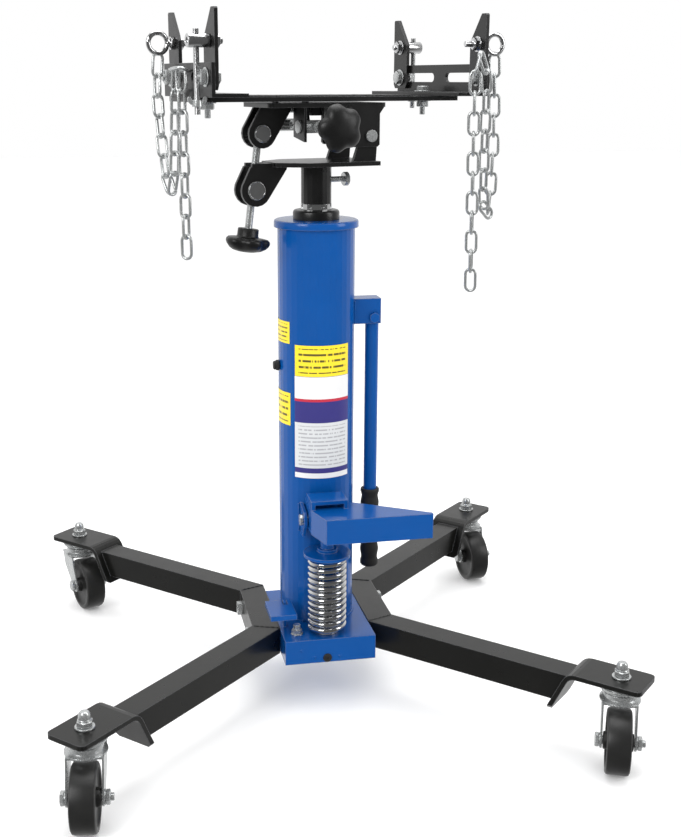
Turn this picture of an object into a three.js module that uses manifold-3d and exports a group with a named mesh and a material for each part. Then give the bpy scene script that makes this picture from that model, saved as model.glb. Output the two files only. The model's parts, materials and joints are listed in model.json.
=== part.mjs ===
// Vertical hydraulic transmission jack: a two-stage telescopic ram in a blue reservoir column, on two
// bolted V-shaped leg frames with four swivel casters. A saddle on the ram swivels, tilts sideways and
// tilts fore and aft by hand screws, and carries two slotted angle brackets with four fingers and two
// safety chains. Millimetres, +Z up, column axis at x = y = 0, floor at z = 0, front towards -Y.
import * as THREE from "three";
import { mergeVertices } from "three/addons/utils/BufferGeometryUtils.js";
import Module from "manifold-3d";

const wasm = await Module();
wasm.setup();

// ---------------------------------------------------------------- driving dimensions
const GAP = 0.3; // named clearance between touching pieces
const BORE_GAP = 0.4; // radial clearance of a pin or ram in its bore
const DEG = Math.PI / 180;

// base block and column
const BLOCK_HALF_WIDTH = 68;
const BLOCK_FRONT_Y = -115;
const BLOCK_REAR_Y = 79;
const BLOCK_BOTTOM_Z = 82;
const BLOCK_TOP_Z = 119;
const COLUMN_R = 56;
const COLUMN_WALL = 4;
const COLUMN_TOP_Z = 712;
const CAP_R = 61;
const CAP_THICK = 10.5;
const GLAND_R = 33.5;
const GLAND_HEIGHT = 13.5;

// telescopic ram
const CYLINDER_R = 27;
const OUTER_RAM_R = 21;
const OUTER_RAM_BOTTOM_Z = 150;
const OUTER_HEAD_R = 22.5;
const OUTER_HEAD_HEIGHT = 8;
const INNER_RAM_R = 15;
const INNER_RAM_BOTTOM_Z = 165;
const RAM_WALL = 4;

// leg frames and casters
const LEG_CENTRE_Y = 17;
const STEM_X = 360;
const LEG_STRAIGHT_HALF_Y = 76.3; // from the legs' middle to a mitre
const TUBE_WIDTH = 40;
const TUBE_HEIGHT = 41;
const TUBE_TOP_Z = 120.5;
const PLATE_TOP_Z = 130;
const PLATE_THICK = 7;
const PLATE_WIDTH = 64;
const PLATE_STEM_TO_EDGE = 38;
const PLATE_STEM_TO_BEND = 54;
const PLATE_FLANGE_DEPTH = 61;
const BEND_R = 20;
const FLANGE_LEAN_DEG = 25; // the flange slopes back under the leg
const FLANGE_CORNER = 6;
const WHEEL_R = 45;
const WHEEL_WIDTH = 33;
const WHEEL_TRAIL = 30;
const AXLE_Z = 49.5; // before the whole jack is set down on its wheels
const HUB_R = 12;
const HUB_WIDTH = 41;
const AXLE_R = 6;
const FORK_THICK = 3;
const RACE_R = 29;
const STUD_R = 6;
const CASTER_TRAIL_DEG = { front_left: -97, front_right: -113, rear_left: -70, rear_right: -84 };

// pump, pedals and handle
const PUMP_Y = -86;
const PUMP_BARREL_R = 17;
const PUMP_BARREL_TOP_Z = 200;
const PISTON_R = 10;
const SPRING_WIRE_R = 3.3;
const SPRING_R = 25;
const SPRING_TURNS = 10;
const SPRING_CAP_R = 35;
const SPRING_CAP_THICK = 5;
const SPRING_TOP_Z = 240;
const PEDAL_PIVOT_Y = -68;
const PEDAL_PIVOT_Z = 291;
const PEDAL_PIN_R = 6;
const PEDAL_PLATE = 6;
const PEDAL_FRONT_Y = -150;
const PEDAL_LEFT_X = -14;
const PEDAL_RIGHT_X = 142;
const PEDAL_TOP_Z = 317;
const PEDAL_BOTTOM_Z = 280;
const HEAD_HALF_WIDTH = 27;
const HEAD_TOP_Z = 330;
const EAR_THICK = 5;
const RELEASE_Z = 150;
const HANDLE_X = 84;
const HANDLE_PIVOT_Z = 579;
const HANDLE_R = 10;
const HANDLE_TOP_Z = 592;
const GRIP_TOP_Z = 311;
const GRIP_BOTTOM_Z = 185;
const GRIP_R = 14;

// saddle, in its own turned frame (local x to the right, local y to the rear)
const SADDLE_TURN = 14 * DEG;
const PLATE_T = 6;
const SLEEVE_R = 21.7;
const LOWER_PLATE_TOP_Z = COLUMN_TOP_Z + 93;
const LOWER_LEFT_X = -73;
const LOWER_RIGHT_X = 76;
const LOWER_HALF_Y = 52;
const LOWER_NOSE_HALF_Y = 26;
const MIDDLE_TOP_Z = LOWER_PLATE_TOP_Z + 80;
const MIDDLE_LEFT_X = -92;
const MIDDLE_RIGHT_X = 86;
const MIDDLE_HALF_Y = 50;
const TOP_BOTTOM_Z = MIDDLE_TOP_Z + 2;
const TOP_THICK = 6.5;
const TOP_HALF_X = 197;
const TOP_HALF_Y = 55;
const GRIT_HALF_X = 126;
const GRIT_MARGIN_Y = 5;
const GRIT_RISE = 1.2;
const ROLL_PIN_X = 61.5;
const ROLL_PIN_Z = MIDDLE_TOP_Z - 45;
const ROLL_PIN_R = 7;
const ROLL_EAR_HALF_Y = 50;
const UPPER_TRUNNION = { x: -88, z: MIDDLE_TOP_Z - 41, r: 12 };
const LOWER_TRUNNION = { x: -98, z: LOWER_PLATE_TOP_Z - 38, r: 13 };
const TRUNNION_EAR_HALF_Y = 15;
const TRUNNION_HALF_LENGTH = 17;
const SCREW_R = 5.5;
const SCREW_SWING_GAP = 1.5; // the screw leans a little as the saddle tilts
const KNOB_R = 30;
const KNOB_HEIGHT = 20;
const KNOB_HUB_R = 15;
const KNOB_HUB_HEIGHT = 13;
const KNOB_LOBES = 5;
const ROLL_KNOB_REACH = 131; // from the upper trunnion to the knob's hub, along the screw
const PITCH_X = -13.5;
const PITCH_SCREW_Z = MIDDLE_TOP_Z - 32;
const PITCH_FRONT_Y = -27;
const PITCH_HINGE_Y = 58;
const PITCH_HINGE_Z = MIDDLE_TOP_Z - 11;
const PITCH_KNOB_Y = -86;
const PITCH_TRUNNION_R = 9;
const PITCH_EAR_HALF_GAP = 21.5;
const PITCH_EAR_T = 4;

// slotted brackets and fingers
const BRACKET_LEG = 50;
const BRACKET_RISE = 43;
const BRACKET_T = 5;
const SLOT_HALF_HEIGHT = 6.4;
const SLOT_BRIDGE = 32;
const SLOT_END_MARGIN = 10;
const CLAMP_HOLE_R = 5.4;
const CLAMP_SLOT_LENGTH = 44;
const FINGER_WIDTH = 40;
const FINGER_TIP = 12;
const FINGER_T = 5;
const FINGER_FOOT_GAP = 4;
const FINGER_SHOULDER_Z = TOP_BOTTOM_Z + 79;
const FINGER_TOP_Z = TOP_BOTTOM_Z + 116;
const FINGER_EYE_Z = TOP_BOTTOM_Z + 76;
const EYE_HOLE_R = 4.6;
const EYE_SHANK_R = 4;
const RING_R = 13;
const RING_WIRE_R = 3.2;
const BARREL_R = 8.5;
const BARREL_LENGTH = 29;
const ROD_R = 4;
const ROD_OUT = 12;
const ROD_TOP_Z = TOP_BOTTOM_Z + 90;
const ROD_BOTTOM_Z = TOP_BOTTOM_Z - 14;
const CHAIN_R = 6;
const RIGHT = { side: 1, face: 205, length: 256, centre: 11, clampY: 20, rear: 122, front: -100 };
const LEFT = { side: -1, face: 195, length: 186, centre: -28, clampY: -28, rear: 38, front: -100 };

// ---------------------------------------------------------------- solids
const ROUND = 18;
const SMALL_ROUND = 10;
const COLUMN_SIDES = 36;

// A closed geometry as a manifold solid, with only its positions kept.
function solid(geometry) {
  const plain = new THREE.BufferGeometry();
  const flat = geometry.index ? geometry.toNonIndexed() : geometry;
  plain.setAttribute("position", flat.getAttribute("position").clone());
  const merged = mergeVertices(plain, 1e-4);
  return new wasm.Manifold(
    new wasm.Mesh({
      numProp: 3,
      vertProperties: merged.getAttribute("position").array,
      triVerts: new Uint32Array(merged.index.array),
    }),
  );
}

const join = (...solids) => solids.reduce((whole, next) => whole.add(next));
const cut = (whole, ...tools) => tools.reduce((rest, tool) => rest.subtract(tool), whole);

// A box between two corners.
function box(x0, x1, y0, y1, z0, z1) {
  const geometry = new THREE.BoxGeometry(x1 - x0, y1 - y0, z1 - z0);
  return solid(geometry.translate((x0 + x1) / 2, (y0 + y1) / 2, (z0 + z1) / 2));
}

// A solid of revolution about +Z from [radius, height] pairs that start and end on the axis.
function turned(profile, sides = ROUND) {
  const points = profile.map(([r, z]) => new THREE.Vector2(r, z));
  const geometry = new THREE.LatheGeometry(points, sides);
  return solid(geometry.rotateX(Math.PI / 2));
}

// A closed ring section turned about +Z.
const ringOf = (profile, sides) => turned([...profile, profile[0]], sides);

const rod = (r, z0, z1, sides = ROUND) => turned([[0, z0], [r, z0], [r, z1], [0, z1]], sides);
const tube = (r, inner, z0, z1, sides = ROUND) =>
  ringOf([[r, z0], [r, z1], [inner, z1], [inner, z0]], sides);
const hex = (acrossFlats, z0, z1) => rod(acrossFlats / Math.sqrt(3), z0, z1, 6);

// The same rods laid along +X or +Y, centred on a point.
const rodX = (r, x0, x1, y, z, sides = SMALL_ROUND) =>
  rod(r, x0, x1, sides).rotate([0, 90, 0]).translate([0, y, z]);
const rodY = (r, y0, y1, x, z, sides = SMALL_ROUND) =>
  rod(r, y0, y1, sides).rotate([-90, 0, 0]).translate([x, 0, z]);

// An outline of [x, y] pairs raised from z0 to z1.
function prism(outline, z0, z1) {
  const shape = new THREE.Shape(outline.map(([x, y]) => new THREE.Vector2(x, y)));
  const geometry = new THREE.ExtrudeGeometry(shape, { depth: z1 - z0, bevelEnabled: false });
  return solid(geometry.translate(0, 0, z0));
}

// An outline of [x, z] pairs, spread from y0 to y1.
const slabY = (outline, y0, y1) =>
  prism(outline, -y1, -y0).rotate([90, 0, 0]);

// An outline of [y, z] pairs, spread from x0 to x1.
const slabX = (outline, x0, x1) =>
  prism(outline, x0, x1).rotate([90, 0, 90]);

// Points of an arc, both ends included, for use in an outline.
function arc(cx, cy, r, from, to, steps = 6) {
  const points = [];
  for (let i = 0; i <= steps; i++) {
    const a = (from + ((to - from) * i) / steps) * DEG;
    points.push([cx + r * Math.cos(a), cy + r * Math.sin(a)]);
  }
  return points;
}

// A slot with round ends in a plane given by one of the slab functions.
function slotOutline(c0, c1, level, half) {
  return [...arc(c1, level, half, -90, 90), ...arc(c0, level, half, 90, 270)];
}

// A round bar of few sides along a curve.
function barAlong(points, r, sides, steps) {
  const path = new THREE.CatmullRomCurve3(points.map((p) => new THREE.Vector3(...p)));
  const shape = new THREE.Shape(
    arc(0, 0, r, 0, 360 - 360 / sides, sides - 1).map(([x, y]) => new THREE.Vector2(x, y)),
  );
  return solid(
    new THREE.ExtrudeGeometry(shape, { steps, extrudePath: path, bevelEnabled: false }),
  );
}

// ---------------------------------------------------------------- scene graph
const COLOURS = {
  blue: { color: 0x1450a8, roughness: 0.3, metalness: 0.1 },
  black: { color: 0x1a1b1d, roughness: 0.42, metalness: 0.1 },
  steel: { color: 0xb9bcc0, roughness: 0.3, metalness: 0.9 },
  chrome: { color: 0xd8dadd, roughness: 0.15, metalness: 1 },
  plastic: { color: 0x202122, roughness: 0.5, metalness: 0 },
  rubber: { color: 0x1c1c1c, roughness: 0.8, metalness: 0 },
  tread: { color: 0x161616, roughness: 0.55, metalness: 0 },
};

const jack = new THREE.Group();
const saddle = new THREE.Group();
saddle.rotation.z = SADDLE_TURN;
jack.add(saddle);

function piece(name, made, look, group = jack) {
  const mesh = made.getMesh();
  const geometry = new THREE.BufferGeometry();
  const stride = mesh.numProp;
  const positions = new Float32Array(mesh.numVert * 3);
  for (let i = 0; i < mesh.numVert; i++)
    positions.set(mesh.vertProperties.subarray(i * stride, i * stride + 3), i * 3);
  geometry.setAttribute("position", new THREE.BufferAttribute(positions, 3));
  geometry.setIndex(new THREE.BufferAttribute(mesh.triVerts, 1));
  geometry.computeVertexNormals();
  const part = new THREE.Mesh(geometry, new THREE.MeshStandardMaterial(COLOURS[look]));
  part.name = name;
  group.add(part);
  return part;
}

// ---------------------------------------------------------------- base block, legs and clamp bolts
const TUBE_INNER_X = BLOCK_HALF_WIDTH + GAP;
const TUBE_CENTRE_X = TUBE_INNER_X + TUBE_WIDTH / 2;
const STEM_HALF_Y = LEG_STRAIGHT_HALF_Y + (STEM_X - TUBE_CENTRE_X);
const FRONT_STEM_Y = LEG_CENTRE_Y - STEM_HALF_Y;
const REAR_STEM_Y = LEG_CENTRE_Y + STEM_HALF_Y;
const FRONT_MITRE_Y = FRONT_STEM_Y + (STEM_X - TUBE_CENTRE_X);
const REAR_MITRE_Y = REAR_STEM_Y - (STEM_X - TUBE_CENTRE_X);
const CLAMP_BOLT_R = 6;
const CLAMP_BOLT_Z = (BLOCK_BOTTOM_Z + BLOCK_TOP_Z) / 2;
const CLAMP_BOLT_YS = { front: LEG_CENTRE_Y - 55, rear: LEG_CENTRE_Y + 45 };
const CLAMP_HEAD_X = TUBE_INNER_X + TUBE_WIDTH + GAP;
const OUTER_RAM_TOP_Z = COLUMN_TOP_Z + GAP + CAP_THICK + GAP + GLAND_HEIGHT;

const clampBores = Object.values(CLAMP_BOLT_YS).map((y) =>
  rodX(CLAMP_BOLT_R + BORE_GAP, -CLAMP_HEAD_X - 1, CLAMP_HEAD_X + 1, y, CLAMP_BOLT_Z),
);

// The reservoir seat and the pump well are shallow, so the block keeps its strength below them.
const SEAT_DEPTH = 3;
const COLUMN_BOTTOM_Z = BLOCK_TOP_Z - SEAT_DEPTH + GAP;
function baseBlock() {
  const body = box(
    -BLOCK_HALF_WIDTH, BLOCK_HALF_WIDTH, BLOCK_FRONT_Y, BLOCK_REAR_Y, BLOCK_BOTTOM_Z, BLOCK_TOP_Z,
  );
  const seat = tube(
    COLUMN_R + GAP, COLUMN_R - COLUMN_WALL - GAP, BLOCK_TOP_Z - SEAT_DEPTH, BLOCK_TOP_Z + 1,
    COLUMN_SIDES,
  );
  const lug = slabX(
    [[-62, BLOCK_TOP_Z - 1], [-50, BLOCK_TOP_Z - 1], [-50, RELEASE_Z + 4],
      ...arc(-56, RELEASE_Z + 4, 6, 0, 180, 6)],
    -62, -57,
  );
  const pinBore = rodX(3 + BORE_GAP, -66, -53, -56, RELEASE_Z + 4, 12);
  return cut(join(body, lug), pinBore, seat, ...clampBores);
}
piece("base_block", baseBlock(), "blue");

// The middle line of the bent plate: flat, then round the bend, then down the leaning flange.
const LEAN_SIN = Math.sin(FLANGE_LEAN_DEG * DEG);
const LEAN_COS = Math.cos(FLANGE_LEAN_DEG * DEG);
const FLANGE_BOTTOM_Z = PLATE_TOP_Z - PLATE_FLANGE_DEPTH;
const BEND_CENTRE_Z = PLATE_TOP_Z - BEND_R;

// Where the flange's face, at a radius from the bend's centre, comes down to a height.
function flangePoint(radius, z) {
  const drop = BEND_CENTRE_Z + radius * LEAN_SIN - z;
  return [-PLATE_STEM_TO_BEND - radius * LEAN_COS - (drop * LEAN_SIN) / LEAN_COS, z];
}

// A bent plate on the end of a leg: a flange closes the tube, and the flat holds the caster stud.
function casterPlate() {
  const bend = (r) => arc(-PLATE_STEM_TO_BEND, BEND_CENTRE_Z, r, 90, 180 - FLANGE_LEAN_DEG, 4);
  const inner = BEND_R - PLATE_THICK;
  const profile = [
    [PLATE_STEM_TO_EDGE, PLATE_TOP_Z], ...bend(BEND_R), flangePoint(BEND_R, FLANGE_BOTTOM_Z),
    flangePoint(inner, FLANGE_BOTTOM_Z), ...bend(inner).reverse(),
    [PLATE_STEM_TO_EDGE, PLATE_TOP_Z - PLATE_THICK],
  ];
  const half = PLATE_WIDTH / 2;
  const bent = slabY(profile, -half, half);
  const corner = 8;
  const edge = PLATE_STEM_TO_EDGE;
  const left = -PLATE_STEM_TO_BEND - 60;
  const plan = prism(
    [
      [left, -half - 1],
      [edge - corner, -half - 1],
      ...arc(edge - corner, -half + corner, corner, -90, 0, 3),
      ...arc(edge - corner, half - corner, corner, 0, 90, 3),
      [edge - corner, half + 1],
      [left, half + 1],
    ],
    FLANGE_BOTTOM_Z - 1, PLATE_TOP_Z + 1,
  );
  const foot = FLANGE_BOTTOM_Z;
  const front = slabX(
    [[-half + FLANGE_CORNER, foot], [half - FLANGE_CORNER, foot], [half, foot + FLANGE_CORNER],
      [half, PLATE_TOP_Z + 1], [-half, PLATE_TOP_Z + 1], [-half, foot + FLANGE_CORNER]],
    left, edge + 1,
  );
  const studBore = rod(STUD_R + BORE_GAP, PLATE_TOP_Z - 20, PLATE_TOP_Z + 5, SMALL_ROUND);
  return cut(bent.intersect(plan).intersect(front), studBore);
}

// All that lies outboard of the flange's middle, where the tube has been cut away.
function beyondFlange() {
  const middle = BEND_R - PLATE_THICK / 2;
  return slabY(
    [flangePoint(middle, PLATE_TOP_Z + 20), flangePoint(middle, FLANGE_BOTTOM_Z - 10),
      [60, FLANGE_BOTTOM_Z - 10], [60, PLATE_TOP_Z + 20]],
    -60, 60,
  );
}

// One V-shaped frame: a short tube along the block and two mitred legs at 45 degrees, seen from above.
function legFrame(side) {
  const half = TUBE_WIDTH / 2;
  const mitre = half * Math.tan(22.5 * DEG);
  const reach = STEM_X - TUBE_CENTRE_X - PLATE_STEM_TO_BEND * Math.SQRT1_2;
  const across = half * Math.SQRT1_2;
  const x = (value) => side * value;
  const outline = [
    [x(TUBE_CENTRE_X - half), FRONT_MITRE_Y - mitre],
    [x(TUBE_CENTRE_X + reach - across), FRONT_MITRE_Y - reach - across],
    [x(TUBE_CENTRE_X + reach + across), FRONT_MITRE_Y - reach + across],
    [x(TUBE_CENTRE_X + half), FRONT_MITRE_Y + mitre],
    [x(TUBE_CENTRE_X + half), REAR_MITRE_Y - mitre],
    [x(TUBE_CENTRE_X + reach + across), REAR_MITRE_Y + reach - across],
    [x(TUBE_CENTRE_X + reach - across), REAR_MITRE_Y + reach + across],
    [x(TUBE_CENTRE_X - half), REAR_MITRE_Y + mitre],
  ];
  const tubes = prism(outline, TUBE_TOP_Z - TUBE_HEIGHT, TUBE_TOP_Z);
  const frontAngle = side > 0 ? -45 : -135;
  const rearAngle = side > 0 ? 45 : 135;
  const atFront = (made) =>
    made.rotate([0, 0, frontAngle]).translate([side * STEM_X, FRONT_STEM_Y, 0]);
  const atRear = (made) => made.rotate([0, 0, rearAngle]).translate([side * STEM_X, REAR_STEM_Y, 0]);
  const trimmed = cut(tubes, atFront(beyondFlange()), atRear(beyondFlange()));
  return cut(join(trimmed, atFront(casterPlate()), atRear(casterPlate())), ...clampBores);
}
piece("left_leg_frame", legFrame(-1), "black");
piece("right_leg_frame", legFrame(1), "black");

for (const [end, y] of Object.entries(CLAMP_BOLT_YS)) {
  const shank = rodX(CLAMP_BOLT_R, -CLAMP_HEAD_X - 4, CLAMP_HEAD_X + 4, y, CLAMP_BOLT_Z, 12);
  const head = hex(19, -CLAMP_HEAD_X - 8, -CLAMP_HEAD_X);
  const nut = hex(19, CLAMP_HEAD_X, CLAMP_HEAD_X + 10);
  const lay = (s) => s.rotate([0, 90, 0]).translate([0, y, CLAMP_BOLT_Z]);
  piece(`leg_clamp_bolt_${end}`, join(shank, lay(head), lay(nut)), "steel");
}

// ---------------------------------------------------------------- column
const EAR_Z0 = 265;
const HANDLE_WALL_Y = HANDLE_R + 1;
function reservoirTube() {
  const shell = tube(COLUMN_R, COLUMN_R - COLUMN_WALL, COLUMN_BOTTOM_Z, COLUMN_TOP_Z, COLUMN_SIDES);
  const keepOut = rod(COLUMN_R - 1, EAR_Z0 - 20, COLUMN_TOP_Z - 5, COLUMN_SIDES);
  const earSide = [
    [-30, EAR_Z0], [PEDAL_PIVOT_Y, EAR_Z0],
    ...arc(PEDAL_PIVOT_Y, PEDAL_PIVOT_Z, 15, -120, -270, 6),
    [-30, PEDAL_PIVOT_Z + 22],
  ];
  const earAt = HEAD_HALF_WIDTH + 1.5;
  const ears = [-1, 1].map((s) =>
    s > 0 ? slabX(earSide, earAt, earAt + EAR_THICK) : slabX(earSide, -earAt - EAR_THICK, -earAt),
  );
  const pinBore = rodX(PEDAL_PIN_R + BORE_GAP, -60, 60, PEDAL_PIVOT_Y, PEDAL_PIVOT_Z);
  const left = 40;
  const right = HANDLE_X + 10;
  const low = HANDLE_PIVOT_Z - 9;
  const high = HANDLE_PIVOT_Z + 28;
  const wall = 4;
  const outerY = HANDLE_WALL_Y + wall;
  const channel = cut(
    box(left, right, -outerY, outerY, low, high),
    box(COLUMN_R + 6, right + 1, -HANDLE_WALL_Y, HANDLE_WALL_Y, low - 1, high - wall),
    rodY(5 + BORE_GAP, -outerY - 1, outerY + 1, HANDLE_X, HANDLE_PIVOT_Z, 12),
  );
  const added = cut(join(...ears), pinBore);
  return join(shell, cut(channel, keepOut), cut(added, keepOut));
}
piece("reservoir_tube", reservoirTube(), "blue");

const CAP_BOTTOM_Z = COLUMN_TOP_Z + GAP;
const CAP_TOP_Z = CAP_BOTTOM_Z + CAP_THICK;
piece(
  "reservoir_cap",
  ringOf(
    [[CYLINDER_R + BORE_GAP, CAP_BOTTOM_Z], [CAP_R, CAP_BOTTOM_Z], [CAP_R, CAP_TOP_Z - 3],
      [CAP_R - 1, CAP_TOP_Z - 0.8], [CAP_R - 3, CAP_TOP_Z], [CYLINDER_R + BORE_GAP, CAP_TOP_Z]],
    COLUMN_SIDES,
  ),
  "blue",
);
const CYLINDER_BORE_R = OUTER_RAM_R + BORE_GAP;
piece("pressure_cylinder", tube(CYLINDER_R, CYLINDER_BORE_R, BLOCK_TOP_Z + GAP, CAP_TOP_Z), "steel");
const GLAND_TOP_Z = CAP_TOP_Z + GAP + GLAND_HEIGHT;
piece(
  "gland_nut",
  ringOf(
    [[CYLINDER_BORE_R, CAP_TOP_Z + GAP], [GLAND_R, CAP_TOP_Z + GAP], [GLAND_R, GLAND_TOP_Z - 2],
      [GLAND_R - 2, GLAND_TOP_Z], [CYLINDER_BORE_R, GLAND_TOP_Z]],
  ),
  "black",
);
const FILLER_Z = 511;
piece(
  "filler_plug",
  join(
    rod(8, 0, 5, SMALL_ROUND), rod(6.5, 5, 9, SMALL_ROUND),
  ).rotate([0, -90, 0]).translate([-COLUMN_R - GAP, -4, FILLER_Z]),
  "plastic",
);

// ---------------------------------------------------------------- rams
const OUTER_BORE_R = INNER_RAM_R + BORE_GAP;
function outerRam() {
  const top = GLAND_TOP_Z + GAP;
  const barrel = tube(OUTER_RAM_R, OUTER_BORE_R, OUTER_RAM_BOTTOM_Z, top + 1);
  const head = tube(OUTER_HEAD_R, OUTER_BORE_R, top, top + OUTER_HEAD_HEIGHT);
  const notches = [];
  for (let i = 0; i < 8; i++) {
    const notch = rod(3.4, top + 3.5, top + OUTER_HEAD_HEIGHT + 1, 4);
    notches.push(notch.translate([OUTER_HEAD_R + 0.6, 0, 0]).rotate([0, 0, i * 45]));
  }
  return join(barrel, cut(head, ...notches));
}
piece("outer_ram", outerRam(), "chrome", saddle);
const SLEEVE_BOTTOM_Z = GLAND_TOP_Z + GAP + OUTER_HEAD_HEIGHT + GAP;
const LOWER_PLATE_BOTTOM_Z = LOWER_PLATE_TOP_Z - PLATE_T;
piece(
  "inner_ram",
  tube(INNER_RAM_R, INNER_RAM_R - RAM_WALL, INNER_RAM_BOTTOM_Z, LOWER_PLATE_BOTTOM_Z - GAP),
  "chrome", saddle,
);

// ---------------------------------------------------------------- casters
function casterStem() {
  const low = PLATE_TOP_Z - PLATE_THICK;
  const race = turned([[0, low - 12], [RACE_R - 8, low - 12], [RACE_R, low - 8], [RACE_R, low - GAP],
    [0, low - GAP]], 14);
  const stud = rod(STUD_R, low - 2, PLATE_TOP_Z + 22, 8);
  const washer = rod(13, PLATE_TOP_Z + GAP, PLATE_TOP_Z + 3, 10);
  const nut = hex(19, PLATE_TOP_Z + 2.5, PLATE_TOP_Z + 11);
  const dome = turned([[0, PLATE_TOP_Z + 12.5], [8.5, PLATE_TOP_Z + 12.5], [8.5, PLATE_TOP_Z + 19],
    [5, PLATE_TOP_Z + 23], [0, PLATE_TOP_Z + 23.5]], 10);
  return join(race, stud, washer, nut, dome);
}

const FORK_TOP_Z = PLATE_TOP_Z - PLATE_THICK - 12.5;
const CROWN_Z = AXLE_Z + WHEEL_R + 2.5;
const FORK_HALF = HUB_WIDTH / 2 + 1;
function casterFork() {
  const crown = turned([[0, CROWN_Z], [RACE_R - 2, CROWN_Z], [RACE_R - 2, CROWN_Z + 4],
    [RACE_R - 6, CROWN_Z + 7], [RACE_R - 6, FORK_TOP_Z], [0, FORK_TOP_Z]], 14);
  const leg = [
    [-23, CROWN_Z], [21, CROWN_Z], [25, CROWN_Z - 12],
    ...arc(WHEEL_TRAIL, AXLE_Z, 11, 20, -160, 4), [-16, CROWN_Z - 24],
  ];
  const outer = FORK_HALF + FORK_THICK;
  const legs = [slabY(leg, -outer, -FORK_HALF), slabY(leg, FORK_HALF, outer)];
  const bridge = slabY(
    [[-23, CROWN_Z - 0.5], [21, CROWN_Z - 0.5], [21, CROWN_Z + 3], [-23, CROWN_Z + 3]],
    -outer, outer,
  );
  const axle = rodY(AXLE_R, -outer - 9, outer + 9, WHEEL_TRAIL, AXLE_Z, 10);
  const nut = hex(17, outer, outer + 7).rotate([-90, 0, 0]).translate([WHEEL_TRAIL, 0, AXLE_Z]);
  const head = hex(17, -outer - 6, -outer).rotate([-90, 0, 0]).translate([WHEEL_TRAIL, 0, AXLE_Z]);
  return join(crown, ...legs, bridge, axle, nut, head);
}

function casterWheel() {
  const w = WHEEL_WIDTH / 2;
  const h = HUB_WIDTH / 2;
  const bore = AXLE_R + BORE_GAP;
  const profile = [
    [bore, -h], [HUB_R, -h], [HUB_R, -w + 3], [WHEEL_R - 10, -w], [WHEEL_R - 4, -w],
    [WHEEL_R, -w + 6], [WHEEL_R, w - 6], [WHEEL_R - 4, w], [WHEEL_R - 10, w], [HUB_R, w - 3],
    [HUB_R, h], [bore, h],
  ];
  return ringOf(profile, 20).rotate([-90, 0, 0]).translate([WHEEL_TRAIL, 0, AXLE_Z]);
}

for (const [corner, trail] of Object.entries(CASTER_TRAIL_DEG)) {
  const x = corner.endsWith("left") ? -STEM_X : STEM_X;
  const y = corner.startsWith("front") ? FRONT_STEM_Y : REAR_STEM_Y;
  const place = (made) => made.rotate([0, 0, trail]).translate([x, y, 0]);
  piece(`caster_stem_${corner}`, place(casterStem()), "steel");
  piece(`caster_fork_${corner}`, place(casterFork()), "steel");
  piece(`caster_wheel_${corner}`, place(casterWheel()), "tread");
}

// ---------------------------------------------------------------- pump and pedals
const PUMP_BASE_Z = BLOCK_TOP_Z + GAP;
piece(
  "pump_barrel",
  tube(PUMP_BARREL_R, PISTON_R + BORE_GAP, PUMP_BASE_Z, PUMP_BARREL_TOP_Z, 24)
    .translate([0, PUMP_Y, 0]),
  "steel",
);
const PRESS_PIN_R = 5;
const PISTON_TOP_Z = PEDAL_PIVOT_Z - PRESS_PIN_R - GAP;
const PISTON_BOTTOM_Z = 135;
const CAP_CLEARANCE = 1.5; // the spring cap is hollowed where it passes the reservoir
piece(
  "pump_piston",
  cut(
    join(
      rod(PISTON_R, PISTON_BOTTOM_Z, PISTON_TOP_Z, 20),
      turned([[0, SPRING_TOP_Z + GAP], [SPRING_CAP_R, SPRING_TOP_Z + GAP],
        [SPRING_CAP_R, SPRING_TOP_Z + SPRING_CAP_THICK], [15, SPRING_TOP_Z + SPRING_CAP_THICK + 2],
        [15, SPRING_TOP_Z + 12], [0, SPRING_TOP_Z + 12]], 28),
    ).translate([0, PUMP_Y, 0]),
    rod(COLUMN_R + CAP_CLEARANCE, SPRING_TOP_Z - 5, SPRING_TOP_Z + 20, COLUMN_SIDES),
  ),
  "blue",
);

function pumpSpring() {
  const perTurn = 8;
  const low = PUMP_BASE_Z + SPRING_WIRE_R + GAP;
  const high = SPRING_TOP_Z - SPRING_WIRE_R - GAP;
  const points = [];
  for (let i = 0; i <= SPRING_TURNS * perTurn; i++) {
    const a = (i / perTurn) * 2 * Math.PI;
    const z = low + ((high - low) * i) / (SPRING_TURNS * perTurn);
    points.push([SPRING_R * Math.cos(a), PUMP_Y + SPRING_R * Math.sin(a), z]);
  }
  return barAlong(points, SPRING_WIRE_R, 4, SPRING_TURNS * perTurn);
}
piece("pump_spring", pumpSpring(), "chrome");

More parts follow.
